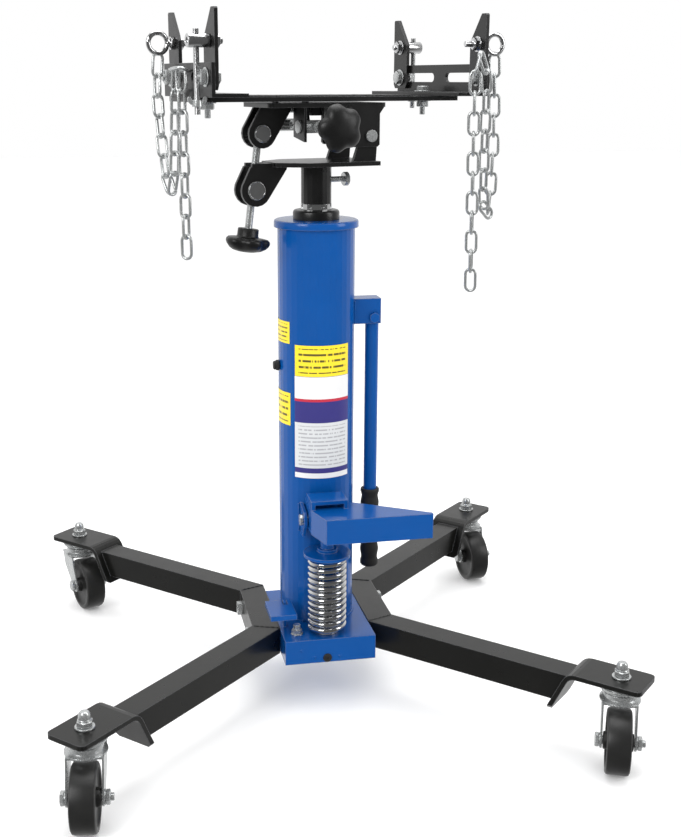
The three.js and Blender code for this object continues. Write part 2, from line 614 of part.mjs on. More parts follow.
function pumpPedal() {
  const back = PEDAL_PIVOT_Y + 10;
  const t = PEDAL_PLATE;
  const w = HEAD_HALF_WIDTH;
  const frontBack = PEDAL_FRONT_Y + t;
  const headFront = -104;
  const top = prism(
    [[-w, headFront + 8], [PEDAL_LEFT_X, PEDAL_FRONT_Y], [PEDAL_RIGHT_X, PEDAL_FRONT_Y],
      [PEDAL_RIGHT_X, frontBack], [w + 11, -78], [w, -78], [w, headFront + 8]],
    PEDAL_TOP_Z - t, PEDAL_TOP_Z,
  );
  const skirt = box(PEDAL_LEFT_X, PEDAL_RIGHT_X, PEDAL_FRONT_Y, frontBack, PEDAL_BOTTOM_Z, PEDAL_TOP_Z);
  const leftCheek = prism(
    [[-w, headFront], [PEDAL_LEFT_X, PEDAL_FRONT_Y], [PEDAL_LEFT_X + t, PEDAL_FRONT_Y],
      [-w + t, headFront]],
    PEDAL_BOTTOM_Z, PEDAL_TOP_Z,
  );
  const cheek = [
    [headFront, PEDAL_BOTTOM_Z], ...arc(PEDAL_PIVOT_Y, PEDAL_PIVOT_Z, 11, -90, 0, 4),
    [back, HEAD_TOP_Z - 6], [back - 6, HEAD_TOP_Z], [headFront, HEAD_TOP_Z],
  ];
  const cheeks = [slabX(cheek, -w, -w + t), slabX(cheek, w - t, w)];
  const lid = box(-w, w, headFront, back - 6, HEAD_TOP_Z - t, HEAD_TOP_Z);
  const press = rodX(PRESS_PIN_R, -w + 1, w - 1, PUMP_Y, PEDAL_PIVOT_Z);
  const bore = rodX(PEDAL_PIN_R + BORE_GAP, -60, 60, PEDAL_PIVOT_Y, PEDAL_PIVOT_Z);
  return cut(join(top, skirt, leftCheek, ...cheeks, lid, press), bore);
}
piece("pump_pedal", pumpPedal(), "blue");
const PIN_END = HEAD_HALF_WIDTH + 1.5 + EAR_THICK + GAP;
piece(
  "pedal_pivot_pin",
  join(
    rodX(PEDAL_PIN_R, -PIN_END - 3, PIN_END + 3, PEDAL_PIVOT_Y, PEDAL_PIVOT_Z),
    rodX(PEDAL_PIN_R + 2.5, -PIN_END - 4, -PIN_END, PEDAL_PIVOT_Y, PEDAL_PIVOT_Z),
    rodX(PEDAL_PIN_R + 2.5, PIN_END, PIN_END + 4, PEDAL_PIVOT_Y, PEDAL_PIVOT_Z),
  ),
  "steel",
);

const RELEASE_PIN_Y = -56;
const RELEASE_PIN_Z = RELEASE_Z + 4;
piece(
  "release_pedal",
  join(
    cut(
      box(-88, -49, -107, -50, RELEASE_Z, RELEASE_Z + 8),
      box(-63, -56, -67, -40, RELEASE_Z - 1, RELEASE_Z + 9),
      prism([[-49.5, -49], [-40, -49], [-40, -80]], RELEASE_Z - 1, RELEASE_Z + 9),
    ),
    rodX(3, -75, -52, RELEASE_PIN_Y, RELEASE_PIN_Z, 12),
  ),
  "blue",
);

// ---------------------------------------------------------------- folding handle
const PIVOT_PIN = HANDLE_WALL_Y + 4 + GAP;
piece(
  "folding_handle",
  join(
    rod(HANDLE_R, GRIP_BOTTOM_Z + 6, HANDLE_TOP_Z, 24).translate([HANDLE_X, 0, 0]),
    rodY(5, -PIVOT_PIN - 2, PIVOT_PIN + 2, HANDLE_X, HANDLE_PIVOT_Z, 12),
    rodY(8, -PIVOT_PIN - 5, -PIVOT_PIN, HANDLE_X, HANDLE_PIVOT_Z, 6),
    rodY(8, PIVOT_PIN, PIVOT_PIN + 5, HANDLE_X, HANDLE_PIVOT_Z, 6),
  ),
  "blue",
);
piece(
  "handle_grip",
  turned([[0, GRIP_BOTTOM_Z], [GRIP_R - 3, GRIP_BOTTOM_Z], [GRIP_R, GRIP_BOTTOM_Z + 3],
    [GRIP_R, GRIP_TOP_Z], [HANDLE_R + GAP, GRIP_TOP_Z], [HANDLE_R + GAP, GRIP_BOTTOM_Z + 5.7],
    [0, GRIP_BOTTOM_Z + 5.7]], 24).translate([HANDLE_X, 0, 0]),
  "rubber",
);

// ---------------------------------------------------------------- saddle: lower plate and roll tilt
const LUG_T = 6;
const LUG_HALF_Y = ROLL_EAR_HALF_Y - 5 - GAP;
const LOCK_SCREW_Z = LOWER_PLATE_TOP_Z - 27;
const LOCK_SCREW_R = 4;
const LOWER_EAR_R = 22;
const UPPER_EAR_R = 20;

// A pair of ear plates around a trunnion, hung from a plate's underside.
function trunnionEars(centre, radius, left, right, topZ) {
  const outline = [
    [right, topZ],
    [right, topZ - 4],
    ...arc(centre.x, centre.z, radius, -28, -200, 9),
    [left, topZ],
  ];
  const outer = TRUNNION_EAR_HALF_Y;
  const bore = rodY(centre.r + BORE_GAP, -outer - 1, outer + 1, centre.x, centre.z, 16);
  const ears = [slabY(outline, -outer, -outer + 5), slabY(outline, outer - 5, outer)];
  return ears.map((ear) => cut(ear, bore));
}

function lowerSaddlePlate() {
  const z0 = LOWER_PLATE_BOTTOM_Z;
  const plate = prism(
    [
      [LOWER_LEFT_X, -LOWER_NOSE_HALF_Y], [LOWER_LEFT_X + 38, -LOWER_HALF_Y],
      [LOWER_RIGHT_X, -LOWER_HALF_Y], [LOWER_RIGHT_X, LOWER_HALF_Y],
      [LOWER_LEFT_X + 38, LOWER_HALF_Y], [LOWER_LEFT_X, LOWER_NOSE_HALF_Y],
    ],
    z0, LOWER_PLATE_TOP_Z,
  );
  const sleeve = tube(SLEEVE_R, INNER_RAM_R + BORE_GAP, SLEEVE_BOTTOM_Z, z0 + 1);
  const tie = box(-104, LOWER_LEFT_X + 2, -TRUNNION_EAR_HALF_Y, TRUNNION_EAR_HALF_Y, z0, z0 + 5);
  const screwGate = box(-120, LOWER_LEFT_X - 8, -9.8, 9.8, z0 - 1, z0 + 8);
  const ears = trunnionEars(LOWER_TRUNNION, LOWER_EAR_R, -106, -52, z0 + 0.5);
  const lug = [
    [36, LOWER_PLATE_TOP_Z - 1], [72, LOWER_PLATE_TOP_Z - 1],
    ...arc(ROLL_PIN_X, ROLL_PIN_Z, 13, 0, 180, 8),
  ];
  const lugs = [
    slabY(lug, -LUG_HALF_Y, -LUG_HALF_Y + LUG_T), slabY(lug, LUG_HALF_Y - LUG_T, LUG_HALF_Y),
  ];
  return cut(
    join(plate, sleeve, cut(tie, screwGate), ...ears, ...lugs),
    rodY(ROLL_PIN_R + BORE_GAP, -60, 60, ROLL_PIN_X, ROLL_PIN_Z, 14),
    rodX(LOCK_SCREW_R + BORE_GAP, INNER_RAM_R, 30, 0, LOCK_SCREW_Z, 12),
  );
}
piece("lower_saddle_plate", lowerSaddlePlate(), "black", saddle);
piece(
  "socket_lock_screw",
  join(
    rodX(LOCK_SCREW_R, INNER_RAM_R + GAP, 46, 0, LOCK_SCREW_Z, 12),
    rodX(9.5, 44, 49, 0, LOCK_SCREW_Z),
  ),
  "steel", saddle,
);

const HINGE_END = ROLL_EAR_HALF_Y + GAP;
piece(
  "roll_hinge_pin",
  join(
    rodY(ROLL_PIN_R, -HINGE_END - 2, HINGE_END + 2, ROLL_PIN_X, ROLL_PIN_Z, 14),
    rodY(ROLL_PIN_R + 1.5, -HINGE_END - 3, -HINGE_END, ROLL_PIN_X, ROLL_PIN_Z, 14),
    rodY(ROLL_PIN_R + 1.5, HINGE_END, HINGE_END + 3, ROLL_PIN_X, ROLL_PIN_Z, 14),
  ),
  "steel", saddle,
);

const PITCH_EAR_INNER = PITCH_EAR_HALF_GAP;
const PITCH_EAR_OUTER = PITCH_EAR_HALF_GAP + PITCH_EAR_T;
const KNUCKLE_R = 8.5;
const KNUCKLE_PIN_R = 4.5;
function middleSaddlePlate() {
  const z0 = MIDDLE_TOP_Z - PLATE_T;
  const corner = 7;
  const plate = prism(
    [
      ...arc(MIDDLE_RIGHT_X - corner, MIDDLE_HALF_Y - corner, corner, 0, 90, 3),
      ...arc(MIDDLE_LEFT_X + corner, MIDDLE_HALF_Y - corner, corner, 90, 180, 3),
      ...arc(MIDDLE_LEFT_X + corner, -MIDDLE_HALF_Y + corner, corner, 180, 270, 3),
      ...arc(MIDDLE_RIGHT_X - corner, -MIDDLE_HALF_Y + corner, corner, 270, 360, 3),
    ],
    z0, MIDDLE_TOP_Z,
  );
  const rollEars = trunnionEars(UPPER_TRUNNION, UPPER_EAR_R, -90, -45, z0 + 0.5);
  const earFoot = MIDDLE_TOP_Z - 60;
  const side = [
    [31, z0 + 0.5], [31, earFoot + 3], [34, earFoot], [72, earFoot], [75, earFoot + 3], [75, z0 - 9],
    [82, z0 + 0.5],
  ];
  const hingeEars = [
    slabY(side, -ROLL_EAR_HALF_Y, -ROLL_EAR_HALF_Y + 5),
    slabY(side, ROLL_EAR_HALF_Y - 5, ROLL_EAR_HALF_Y),
  ];
  const pitchEar = [[-45, MIDDLE_TOP_Z - 52], [-9, MIDDLE_TOP_Z - 46], [-9, z0 + 0.5], [-45, z0 + 0.5]];
  const pitchEars = [
    slabX(pitchEar, PITCH_X - PITCH_EAR_OUTER, PITCH_X - PITCH_EAR_INNER),
    slabX(pitchEar, PITCH_X + PITCH_EAR_INNER, PITCH_X + PITCH_EAR_OUTER),
  ];
  const knuckle = [
    [MIDDLE_HALF_Y - 2, MIDDLE_TOP_Z], [MIDDLE_HALF_Y - 2, PITCH_HINGE_Z - KNUCKLE_R],
    ...arc(PITCH_HINGE_Y, PITCH_HINGE_Z, KNUCKLE_R, -90, 60, 6),
  ];
  const knuckles = [slabX(knuckle, -62, -42), slabX(knuckle, 15, 35)];
  return cut(
    join(plate, ...rollEars, ...hingeEars, ...pitchEars, ...knuckles),
    rodY(ROLL_PIN_R + BORE_GAP, -60, 60, ROLL_PIN_X, ROLL_PIN_Z, 14),
    rodX(PITCH_TRUNNION_R + BORE_GAP, -60, 40, PITCH_FRONT_Y, PITCH_SCREW_Z, 14),
    rodX(KNUCKLE_PIN_R + BORE_GAP, -70, 50, PITCH_HINGE_Y, PITCH_HINGE_Z, 10),
  );
}
piece("middle_saddle_plate", middleSaddlePlate(), "black", saddle);

// The roll screw leans along the line between the two trunnions.
const LEAN = Math.atan2(UPPER_TRUNNION.x - LOWER_TRUNNION.x, UPPER_TRUNNION.z - LOWER_TRUNNION.z);
const alongRollScrew = (made) =>
  made.rotate([0, LEAN / DEG, 0]).translate([UPPER_TRUNNION.x, 0, UPPER_TRUNNION.z]);
const rollBore = (r) => alongRollScrew(rod(r, -140, 30, 12));

const trunnionAt = (c) => rodY(c.r, -TRUNNION_HALF_LENGTH, TRUNNION_HALF_LENGTH, c.x, c.z, 16);
piece(
  "upper_roll_trunnion",
  cut(trunnionAt(UPPER_TRUNNION), alongRollScrew(rod(SCREW_R + BORE_GAP, -30, 7, 12))),
  "steel", saddle,
);
piece(
  "lower_roll_trunnion",
  cut(trunnionAt(LOWER_TRUNNION), rollBore(SCREW_R + SCREW_SWING_GAP)),
  "steel", saddle,
);
piece("roll_screw", alongRollScrew(rod(SCREW_R, -ROLL_KNOB_REACH - 8, 6, 12)), "steel", saddle);

// A lobed hand knob: hub at z = 0 upwards, dome below, turned to its screw by the caller.
function handKnob() {
  const hub = rod(KNOB_HUB_R, -KNOB_HUB_HEIGHT - 2, 0, 14);
  const rim = -KNOB_HUB_HEIGHT;
  const dome = turned([[0, rim - KNOB_HEIGHT], [12, rim - KNOB_HEIGHT + 0.6],
    [22, rim - KNOB_HEIGHT + 4], [KNOB_R - 1, rim - 9], [KNOB_R, rim - 5], [KNOB_R - 2, rim - 1],
    [16, rim + 1], [0, rim + 1]], 20);
  const flutes = [];
  for (let i = 0; i < KNOB_LOBES; i++) {
    const flute = rod(11, rim - KNOB_HEIGHT - 1, rim + 2, 10).translate([KNOB_R + 6.5, 0, 0]);
    flutes.push(flute.rotate([0, 0, (i * 360) / KNOB_LOBES]));
  }
  const socket = rod(SCREW_R + BORE_GAP, -KNOB_HUB_HEIGHT, 1, 12);
  return cut(join(hub, cut(dome, ...flutes)), socket);
}
piece("roll_knob", alongRollScrew(handKnob().translate([0, 0, -ROLL_KNOB_REACH])), "plastic", saddle);

// ---------------------------------------------------------------- saddle: pitch tilt
const PITCH_SCREW_R = 5;
const pitchBore = (r) => rodY(r, -140, 120, PITCH_X, PITCH_SCREW_Z, 14);
const PITCH_END = PITCH_EAR_OUTER + 2;
piece(
  "front_pitch_trunnion",
  cut(
    rodX(PITCH_TRUNNION_R, PITCH_X - PITCH_END, PITCH_X + PITCH_END, PITCH_FRONT_Y, PITCH_SCREW_Z, 14),
    pitchBore(PITCH_SCREW_R + BORE_GAP),
  ),
  "steel", saddle,
);
piece(
  "rear_pitch_trunnion",
  cut(
    rodX(PITCH_TRUNNION_R, PITCH_X - PITCH_END, PITCH_X + PITCH_END, PITCH_HINGE_Y, PITCH_SCREW_Z, 14),
    pitchBore(PITCH_SCREW_R + SCREW_SWING_GAP),
  ),
  "steel", saddle,
);
piece(
  "pitch_screw",
  join(
    rodY(PITCH_SCREW_R, PITCH_KNOB_Y - 8, PITCH_HINGE_Y + 18, PITCH_X, PITCH_SCREW_Z),
    rodY(8.5, PITCH_FRONT_Y - PITCH_TRUNNION_R - 4, PITCH_FRONT_Y - PITCH_TRUNNION_R - 0.5,
      PITCH_X, PITCH_SCREW_Z),
    rodY(8.5, PITCH_FRONT_Y + PITCH_TRUNNION_R + 0.5, PITCH_FRONT_Y + PITCH_TRUNNION_R + 4,
      PITCH_X, PITCH_SCREW_Z),
  ),
  "steel", saddle,
);
piece(
  "pitch_knob",
  handKnob().rotate([-90, 0, 0]).translate([PITCH_X, PITCH_KNOB_Y, PITCH_SCREW_Z]),
  "plastic", saddle,
);
piece(
  "pitch_hinge_pin",
  rodX(KNUCKLE_PIN_R, -64, 37, PITCH_HINGE_Y, PITCH_HINGE_Z, 10),
  "steel", saddle,
);

function topSaddlePlate() {
  const z1 = TOP_BOTTOM_Z + TOP_THICK;
  const plate = box(-TOP_HALF_X, TOP_HALF_X, -TOP_HALF_Y, PITCH_HINGE_Y + 8, TOP_BOTTOM_Z, z1);
  const gritHalfY = TOP_HALF_Y - GRIT_MARGIN_Y;
  const grit = box(-GRIT_HALF_X, GRIT_HALF_X, -gritHalfY, gritHalfY, z1 - 1, z1 + GRIT_RISE);
  const rearTrim = [
    box(-TOP_HALF_X - 1, PITCH_X - 30, TOP_HALF_Y, 100, TOP_BOTTOM_Z - 1, z1 + 1),
    box(PITCH_X + 30, TOP_HALF_X + 1, TOP_HALF_Y, 100, TOP_BOTTOM_Z - 1, z1 + 1),
  ];
  const ear = [
    [MIDDLE_HALF_Y + 0.8, TOP_BOTTOM_Z + 1], [MIDDLE_HALF_Y + 0.8, PITCH_HINGE_Z - 3],
    ...arc(PITCH_HINGE_Y, PITCH_SCREW_Z, 13, 180, 360, 6), [PITCH_HINGE_Y + 8, TOP_BOTTOM_Z + 1],
  ];
  const ears = [
    slabX(ear, PITCH_X - PITCH_EAR_OUTER, PITCH_X - PITCH_EAR_INNER),
    slabX(ear, PITCH_X + PITCH_EAR_INNER, PITCH_X + PITCH_EAR_OUTER),
  ];
  const half = CLAMP_HOLE_R;
  const clampSlots = [RIGHT, LEFT].map(({ side, clampY }) => {
    const c0 = side * (TOP_HALF_X - 12 - CLAMP_SLOT_LENGTH);
    const c1 = side * (TOP_HALF_X - 12);
    return prism(
      slotOutline(Math.min(c0, c1), Math.max(c0, c1), clampY, half), TOP_BOTTOM_Z - 1, z1 + 1,
    );
  });
  return cut(
    join(plate, grit, ...ears),
    ...rearTrim, ...clampSlots,
    rodX(PITCH_TRUNNION_R + BORE_GAP, -60, 40, PITCH_HINGE_Y, PITCH_SCREW_Z, 14),
    rodX(KNUCKLE_PIN_R + BORE_GAP, -70, 50, PITCH_HINGE_Y, PITCH_HINGE_Z, 10),
  );
}
piece("top_saddle_plate", topSaddlePlate(), "black", saddle);

// ---------------------------------------------------------------- brackets, fingers, chains
const LEG_BOTTOM_Z = TOP_BOTTOM_Z + TOP_THICK + GAP;
const BRACKET_TOP_Z = LEG_BOTTOM_Z + BRACKET_RISE;
const SLOT_Z = LEG_BOTTOM_Z + BRACKET_T + 20;
const FINGER_FOOT_Z = LEG_BOTTOM_Z + BRACKET_T + FINGER_FOOT_GAP;

const span = (side, a, b) => [Math.min(side * a, side * b), Math.max(side * a, side * b)];

function slottedBracket({ side, face, length, centre, clampY }) {
  const y0 = centre - length / 2;
  const y1 = centre + length / 2;
  const [a0, a1] = span(side, face + BRACKET_T - BRACKET_LEG, face + BRACKET_T);
  const [b0, b1] = span(side, face, face + BRACKET_T);
  const leg = box(a0, a1, y0, y1, LEG_BOTTOM_Z, LEG_BOTTOM_Z + BRACKET_T);
  const wall = box(b0, b1, y0, y1, LEG_BOTTOM_Z, BRACKET_TOP_Z);
  const reach = SLOT_HALF_HEIGHT + SLOT_END_MARGIN;
  const inner = SLOT_BRIDGE / 2 + SLOT_HALF_HEIGHT;
  const slots = [
    slotOutline(y0 + reach, centre - inner, SLOT_Z, SLOT_HALF_HEIGHT),
    slotOutline(centre + inner, y1 - reach, SLOT_Z, SLOT_HALF_HEIGHT),
  ].map((outline) => slabX(outline, b0 - 1, b1 + 1));
  const hole = rod(CLAMP_HOLE_R, LEG_BOTTOM_Z - 1, LEG_BOTTOM_Z + 10, SMALL_ROUND)
    .translate([side * (face - 22), clampY, 0]);
  return cut(join(leg, wall), ...slots, hole);
}

// A pointed finger against the inner face of the bracket, with its straight edge outwards.
function finger({ side, face }, y, straight) {
  const h = FINGER_WIDTH / 2;
  const outline = [
    [-h + 4, FINGER_FOOT_Z], [h - 4, FINGER_FOOT_Z], [h, FINGER_FOOT_Z + 6], [h, FINGER_TOP_Z - 2],
    [h - 2, FINGER_TOP_Z], [h - FINGER_TIP, FINGER_TOP_Z], [-h, FINGER_SHOULDER_Z],
    [-h, FINGER_FOOT_Z + 6],
  ].map(([u, z]) => [y + straight * u, z]);
  const [x0, x1] = span(side, face - GAP - FINGER_T, face - GAP);
  const plate = slabX(straight > 0 ? outline : outline.reverse(), x0, x1);
  const [c0, c1] = span(side, face - 20, face + 20);
  return cut(
    plate,
    rodX(EYE_HOLE_R, c0, c1, y, FINGER_EYE_Z, 12),
    rodX(CLAMP_HOLE_R, c0, c1, y, SLOT_Z, 12),
  );
}

function eyeBolt({ side, face }, y) {
  const ringX = side * (face + 22);
  const [x0, x1] = span(side, face - GAP - FINGER_T - 12, face + 10.5);
  const shank = rodX(EYE_SHANK_R, x0, x1, y, FINGER_EYE_Z, 12);
  const [n0, n1] = span(side, face - GAP - FINGER_T - 8.5, face - GAP - FINGER_T - GAP);
  const nut = hex(15, n0, n1).rotate([0, 90, 0]).translate([0, y, FINGER_EYE_Z]);
  const [f0, f1] = span(side, face, face + 5);
  const collar = rodX(8, f0, f1, y, FINGER_EYE_Z, 12);
  const section = arc(RING_R, 0, RING_WIRE_R, 0, 270, 3);
  const ring = ringOf(section, 14).rotate([90, 0, 0]).translate([ringX, y, FINGER_EYE_Z]);
  return join(shank, nut, collar, ring);
}

function tensionBarrel({ side, face }, y) {
  const [x0, x1] = span(side, face, face + BARREL_LENGTH);
  const barrel = rodX(BARREL_R, x0, x1, y, FINGER_EYE_Z);
  const [s0, s1] = span(side, face - GAP - FINGER_T - 12, face + 1);
  const shank = rodX(EYE_SHANK_R, s0, s1, y, FINGER_EYE_Z, 12);
  const [n0, n1] = span(side, face - GAP - FINGER_T - 8.5, face - GAP - FINGER_T - GAP);
  const nut = hex(15, n0, n1).rotate([0, 90, 0]).translate([0, y, FINGER_EYE_Z]);
  const bore = rod(ROD_R + BORE_GAP, FINGER_EYE_Z - 20, FINGER_EYE_Z + 20, SMALL_ROUND)
    .translate([side * (face + BRACKET_T + ROD_OUT), y, 0]);
  return cut(join(barrel, shank, nut), bore);
}

function tensionRod({ side, face }, y) {
  const wing = slabY(
    [[-6, -3], [-13, 3], [-11, 8], [-5, 4], [5, 4], [11, 8], [13, 3], [6, -3]], -2.5, 2.5,
  ).translate([0, 0, TOP_BOTTOM_Z]);
  return join(
    rod(ROD_R, ROD_BOTTOM_Z, ROD_TOP_Z, 12), rod(7, TOP_BOTTOM_Z - 4, TOP_BOTTOM_Z + 4, 12), wing,
  ).translate([side * (face + BRACKET_T + ROD_OUT), y, 0]);
}

for (const [name, at] of Object.entries({ left: LEFT, right: RIGHT })) {
  piece(`${name}_bracket`, slottedBracket(at), "black", saddle);
  piece(`${name}_rear_finger`, finger(at, at.rear, 1), "black", saddle);
  piece(`${name}_front_finger`, finger(at, at.front, -1), "black", saddle);
}
piece("left_eye_bolt", eyeBolt(LEFT, LEFT.rear), "chrome", saddle);
piece("right_eye_bolt", eyeBolt(RIGHT, RIGHT.front), "chrome", saddle);
piece("left_tension_barrel", tensionBarrel(LEFT, LEFT.front), "chrome", saddle);
piece("right_tension_barrel", tensionBarrel(RIGHT, RIGHT.rear), "chrome", saddle);
piece("left_tension_rod", tensionRod(LEFT, LEFT.front), "chrome", saddle);
piece("right_tension_rod", tensionRod(RIGHT, RIGHT.rear), "chrome", saddle);

// Each chain hangs from its ring in a loop, is hitched up, and ends in a free tail.
// Heights are measured from the ring's centre.
const RIGHT_CHAIN = [
  [227, -100, -22], [228, -102, -63], [228, -104, -143], [223, -107, -213], [217, -109, -236],
  [210, -112, -213], [202, -122, -143], [196, -132, -63], [191, -134, -23], [184, -135, -14],
  [178, -134, -23], [176, -134, -83], [178, -133, -203], [180, -132, -338],
];
const LEFT_CHAIN = [
  [-217, 38, -22], [-221, 34, -63], [-222, 14, -143], [-220, 4, -183], [-218, -4, -193],
  [-216, -11, -181], [-214, -14, -123], [-212.5, -18, -63], [-212, -24, -33], [-212, -32, -25],
  [-212, -39, -35], [-212.5, -42, -83], [-213, -46, -183], [-214, -50, -284],
];
const fromRing = (points) => points.map(([x, y, z]) => [x, y, z + FINGER_EYE_Z]);
piece("right_chain", barAlong(fromRing(RIGHT_CHAIN), CHAIN_R, 4, 26), "steel", saddle);
piece("left_chain", barAlong(fromRing(LEFT_CHAIN), CHAIN_R, 4, 26), "steel", saddle);

jack.position.z = WHEEL_R - AXLE_Z;
export default jack;
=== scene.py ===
"""Blender look of the transmission jack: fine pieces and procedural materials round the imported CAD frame."""

import json
import math

import bmesh
import bpy
from mathutils import Matrix, Vector, noise


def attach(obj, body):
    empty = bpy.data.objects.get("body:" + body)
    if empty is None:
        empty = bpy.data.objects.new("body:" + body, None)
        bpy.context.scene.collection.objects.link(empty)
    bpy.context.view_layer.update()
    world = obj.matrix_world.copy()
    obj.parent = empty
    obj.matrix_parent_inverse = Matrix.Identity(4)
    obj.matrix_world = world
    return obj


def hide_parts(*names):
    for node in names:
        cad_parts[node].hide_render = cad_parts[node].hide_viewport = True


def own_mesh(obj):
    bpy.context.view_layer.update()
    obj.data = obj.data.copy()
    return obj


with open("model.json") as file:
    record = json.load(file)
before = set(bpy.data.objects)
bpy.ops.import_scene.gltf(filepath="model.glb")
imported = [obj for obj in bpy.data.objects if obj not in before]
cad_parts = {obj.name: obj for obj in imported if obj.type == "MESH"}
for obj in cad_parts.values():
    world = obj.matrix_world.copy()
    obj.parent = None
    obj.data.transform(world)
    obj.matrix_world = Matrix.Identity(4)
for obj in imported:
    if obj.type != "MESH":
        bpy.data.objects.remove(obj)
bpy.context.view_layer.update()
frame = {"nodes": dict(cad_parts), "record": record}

# ------------------------------------------------------------------ sizes, in millimetres
DROP = 4.5  # heights below are measured from this far under the floor
SADDLE_TURN = 14  # degrees
GAP = 0.3
BASE = Matrix.Translation((0, 0, -DROP / 1000)) @ Matrix.Scale(0.001, 4)
HEAD = BASE @ Matrix.Rotation(math.radians(SADDLE_TURN), 4, "Z")
COLUMN_R = 56
COLUMN_TOP_Z = 712
CAP_THICK = 10.5
GLAND_HEIGHT = 13.5
BLOCK_FRONT_Y = -115
BLOCK_TOP_Z = 119
PUMP_Y = -86
SPRING_TOP_Z = 240
HANDLE_X = 84
PITCH_X = -13.5
PAD_TOP_Z = 894.7
PAD_HALF_X = 126
PAD_HALF_Y = 50
TRAIL = 30
AXLE_Z = 49.5
WHEEL_R = 45
END_PLATE_TOP_Z = 130
END_PLATE_LOW_Z = 123
# where each castor's stem stands, and which way it trails, in degrees
CASTERS = {
    "front_left": (-360, -331, -97),
    "front_right": (360, -331, -113),
    "rear_left": (-360, 365, -70),
    "rear_right": (360, 365, -84),
}


# ------------------------------------------------------------------ materials
def node(tree, kind, inputs=None, **props):
    made = tree.nodes.new(kind)
    for key, value in props.items():
        setattr(made, key, value)
    for key, value in (inputs or {}).items():
        if isinstance(value, bpy.types.NodeSocket):
            tree.links.new(value, made.inputs[key])
        else:
            made.inputs[key].default_value = value
    return made


def shade(name):
    mat = bpy.data.materials.new(name)
    mat.use_nodes = True
    tree = mat.node_tree
    return mat, tree, tree.nodes["Principled BSDF"]


def rgba(colour):
    return (*colour, 1.0)


def surface(name, colour, second, rough, metallic=0.0, coat=0.0, cloud=18.0, grain=900.0,
            bump=0.03, edge=0.0, bevel=0.0008, specular=0.5):
    """Colour that drifts between two tones, uneven gloss, fine grain, rounded edges, and a painted highlight:
    a light grey line along the edges that stands partly for light catching them and partly for worn paint.
    """
    mat, tree, bsdf = shade(name)
    where = node(tree, "ShaderNodeTexCoord").outputs["Object"]
    drift = node(tree, "ShaderNodeTexNoise", {"Vector": where, "Scale": cloud, "Detail": 5.0})
    mix = node(tree, "ShaderNodeMix", {"Factor": drift.outputs["Fac"]}, data_type="RGBA")
    mix.inputs[6].default_value = rgba(colour)
    mix.inputs[7].default_value = rgba(second)
    rounded = node(tree, "ShaderNodeBevel", {"Radius": bevel}, samples=4)
    tone = mix.outputs[2]
    # edge paints light grey into the colour where the rounded normal turns away from the face normal: a
    # painted edge highlight, partly worn paint.
    if edge:
        geometry = node(tree, "ShaderNodeNewGeometry")
        dot = node(tree, "ShaderNodeVectorMath", {0: rounded.outputs[0],
                   1: geometry.outputs["Normal"]}, operation="DOT_PRODUCT")
        painted_edge_highlight = node(tree, "ShaderNodeMapRange", {"Value": dot.outputs["Value"],
                    "From Min": 0.97, "From Max": 0.7, "To Min": 0.0, "To Max": edge})
        light = node(tree, "ShaderNodeMix", {"Factor": painted_edge_highlight.outputs[0]}, data_type="RGBA")
        tree.links.new(tone, light.inputs[6])
        light.inputs[7].default_value = (0.42, 0.43, 0.45, 1)
        tone = light.outputs[2]
    tree.links.new(tone, bsdf.inputs["Base Color"])
    smear = node(tree, "ShaderNodeTexNoise", {"Vector": where, "Scale": cloud * 2.7, "Detail": 6.0})
    gloss = node(tree, "ShaderNodeMapRange", {"Value": smear.outputs["Fac"], "To Min": rough[0],
                 "To Max": rough[1]})
    tree.links.new(gloss.outputs[0], bsdf.inputs["Roughness"])
    fine = node(tree, "ShaderNodeTexNoise", {"Vector": where, "Scale": grain, "Detail": 3.0})
    relief = node(tree, "ShaderNodeBump", {"Height": fine.outputs["Fac"], "Strength": bump,
                  "Distance": 0.0004, "Normal": rounded.outputs[0]})
    tree.links.new(relief.outputs[0], bsdf.inputs["Normal"])
    bsdf.inputs["Metallic"].default_value = metallic
    bsdf.inputs["Coat Weight"].default_value = coat
    bsdf.inputs["Coat Roughness"].default_value = 0.06
    bsdf.inputs["Specular IOR Level"].default_value = specular
    return mat


# The edge values below paint a light grey highlight line along the edges of these paints.
BLUE = surface("gloss_blue_paint", (0.001, 0.062, 0.26), (0.0015, 0.073, 0.3), (0.14, 0.28), coat=0.25,
               grain=260.0, bump=0.05, edge=0.3, bevel=0.0022, specular=0.35)
BLACK = surface("semi_gloss_black_paint", (0.0035, 0.0035, 0.0035), (0.008, 0.008, 0.008), (0.22, 0.38),
                coat=0.1, grain=700.0, bump=0.08, edge=0.35, bevel=0.001)
LEG_BLACK = surface("leg_black_paint", (0.0035, 0.0035, 0.003), (0.008, 0.008, 0.007), (0.22, 0.38),
                    coat=0.1, grain=420.0, bump=0.08, edge=0.3, bevel=0.0022, specular=0.4)
ZINC = surface("zinc_plate", (0.5, 0.52, 0.53), (0.66, 0.67, 0.66), (0.16, 0.34), metallic=0.78,
               cloud=60.0, grain=1500.0, bump=0.08)
CHROME = surface("bright_chrome", (0.72, 0.73, 0.74), (0.8, 0.8, 0.8), (0.05, 0.16), metallic=1.0,
                 cloud=30.0, grain=1800.0, bump=0.02, bevel=0.0005)
BARREL = surface("turned_steel", (0.66, 0.67, 0.68), (0.74, 0.74, 0.74), (0.14, 0.24), metallic=1.0,
                 cloud=50.0, grain=1400.0, bump=0.05)
KNOB = surface("moulded_knob_plastic", (0.003, 0.003, 0.003), (0.007, 0.007, 0.007), (0.3, 0.46),
               cloud=40.0, grain=2600.0, bump=0.12)
GRIP = surface("grip_rubber", (0.009, 0.009, 0.009), (0.016, 0.016, 0.016), (0.5, 0.72), cloud=50.0,
               grain=1700.0, bump=0.3)
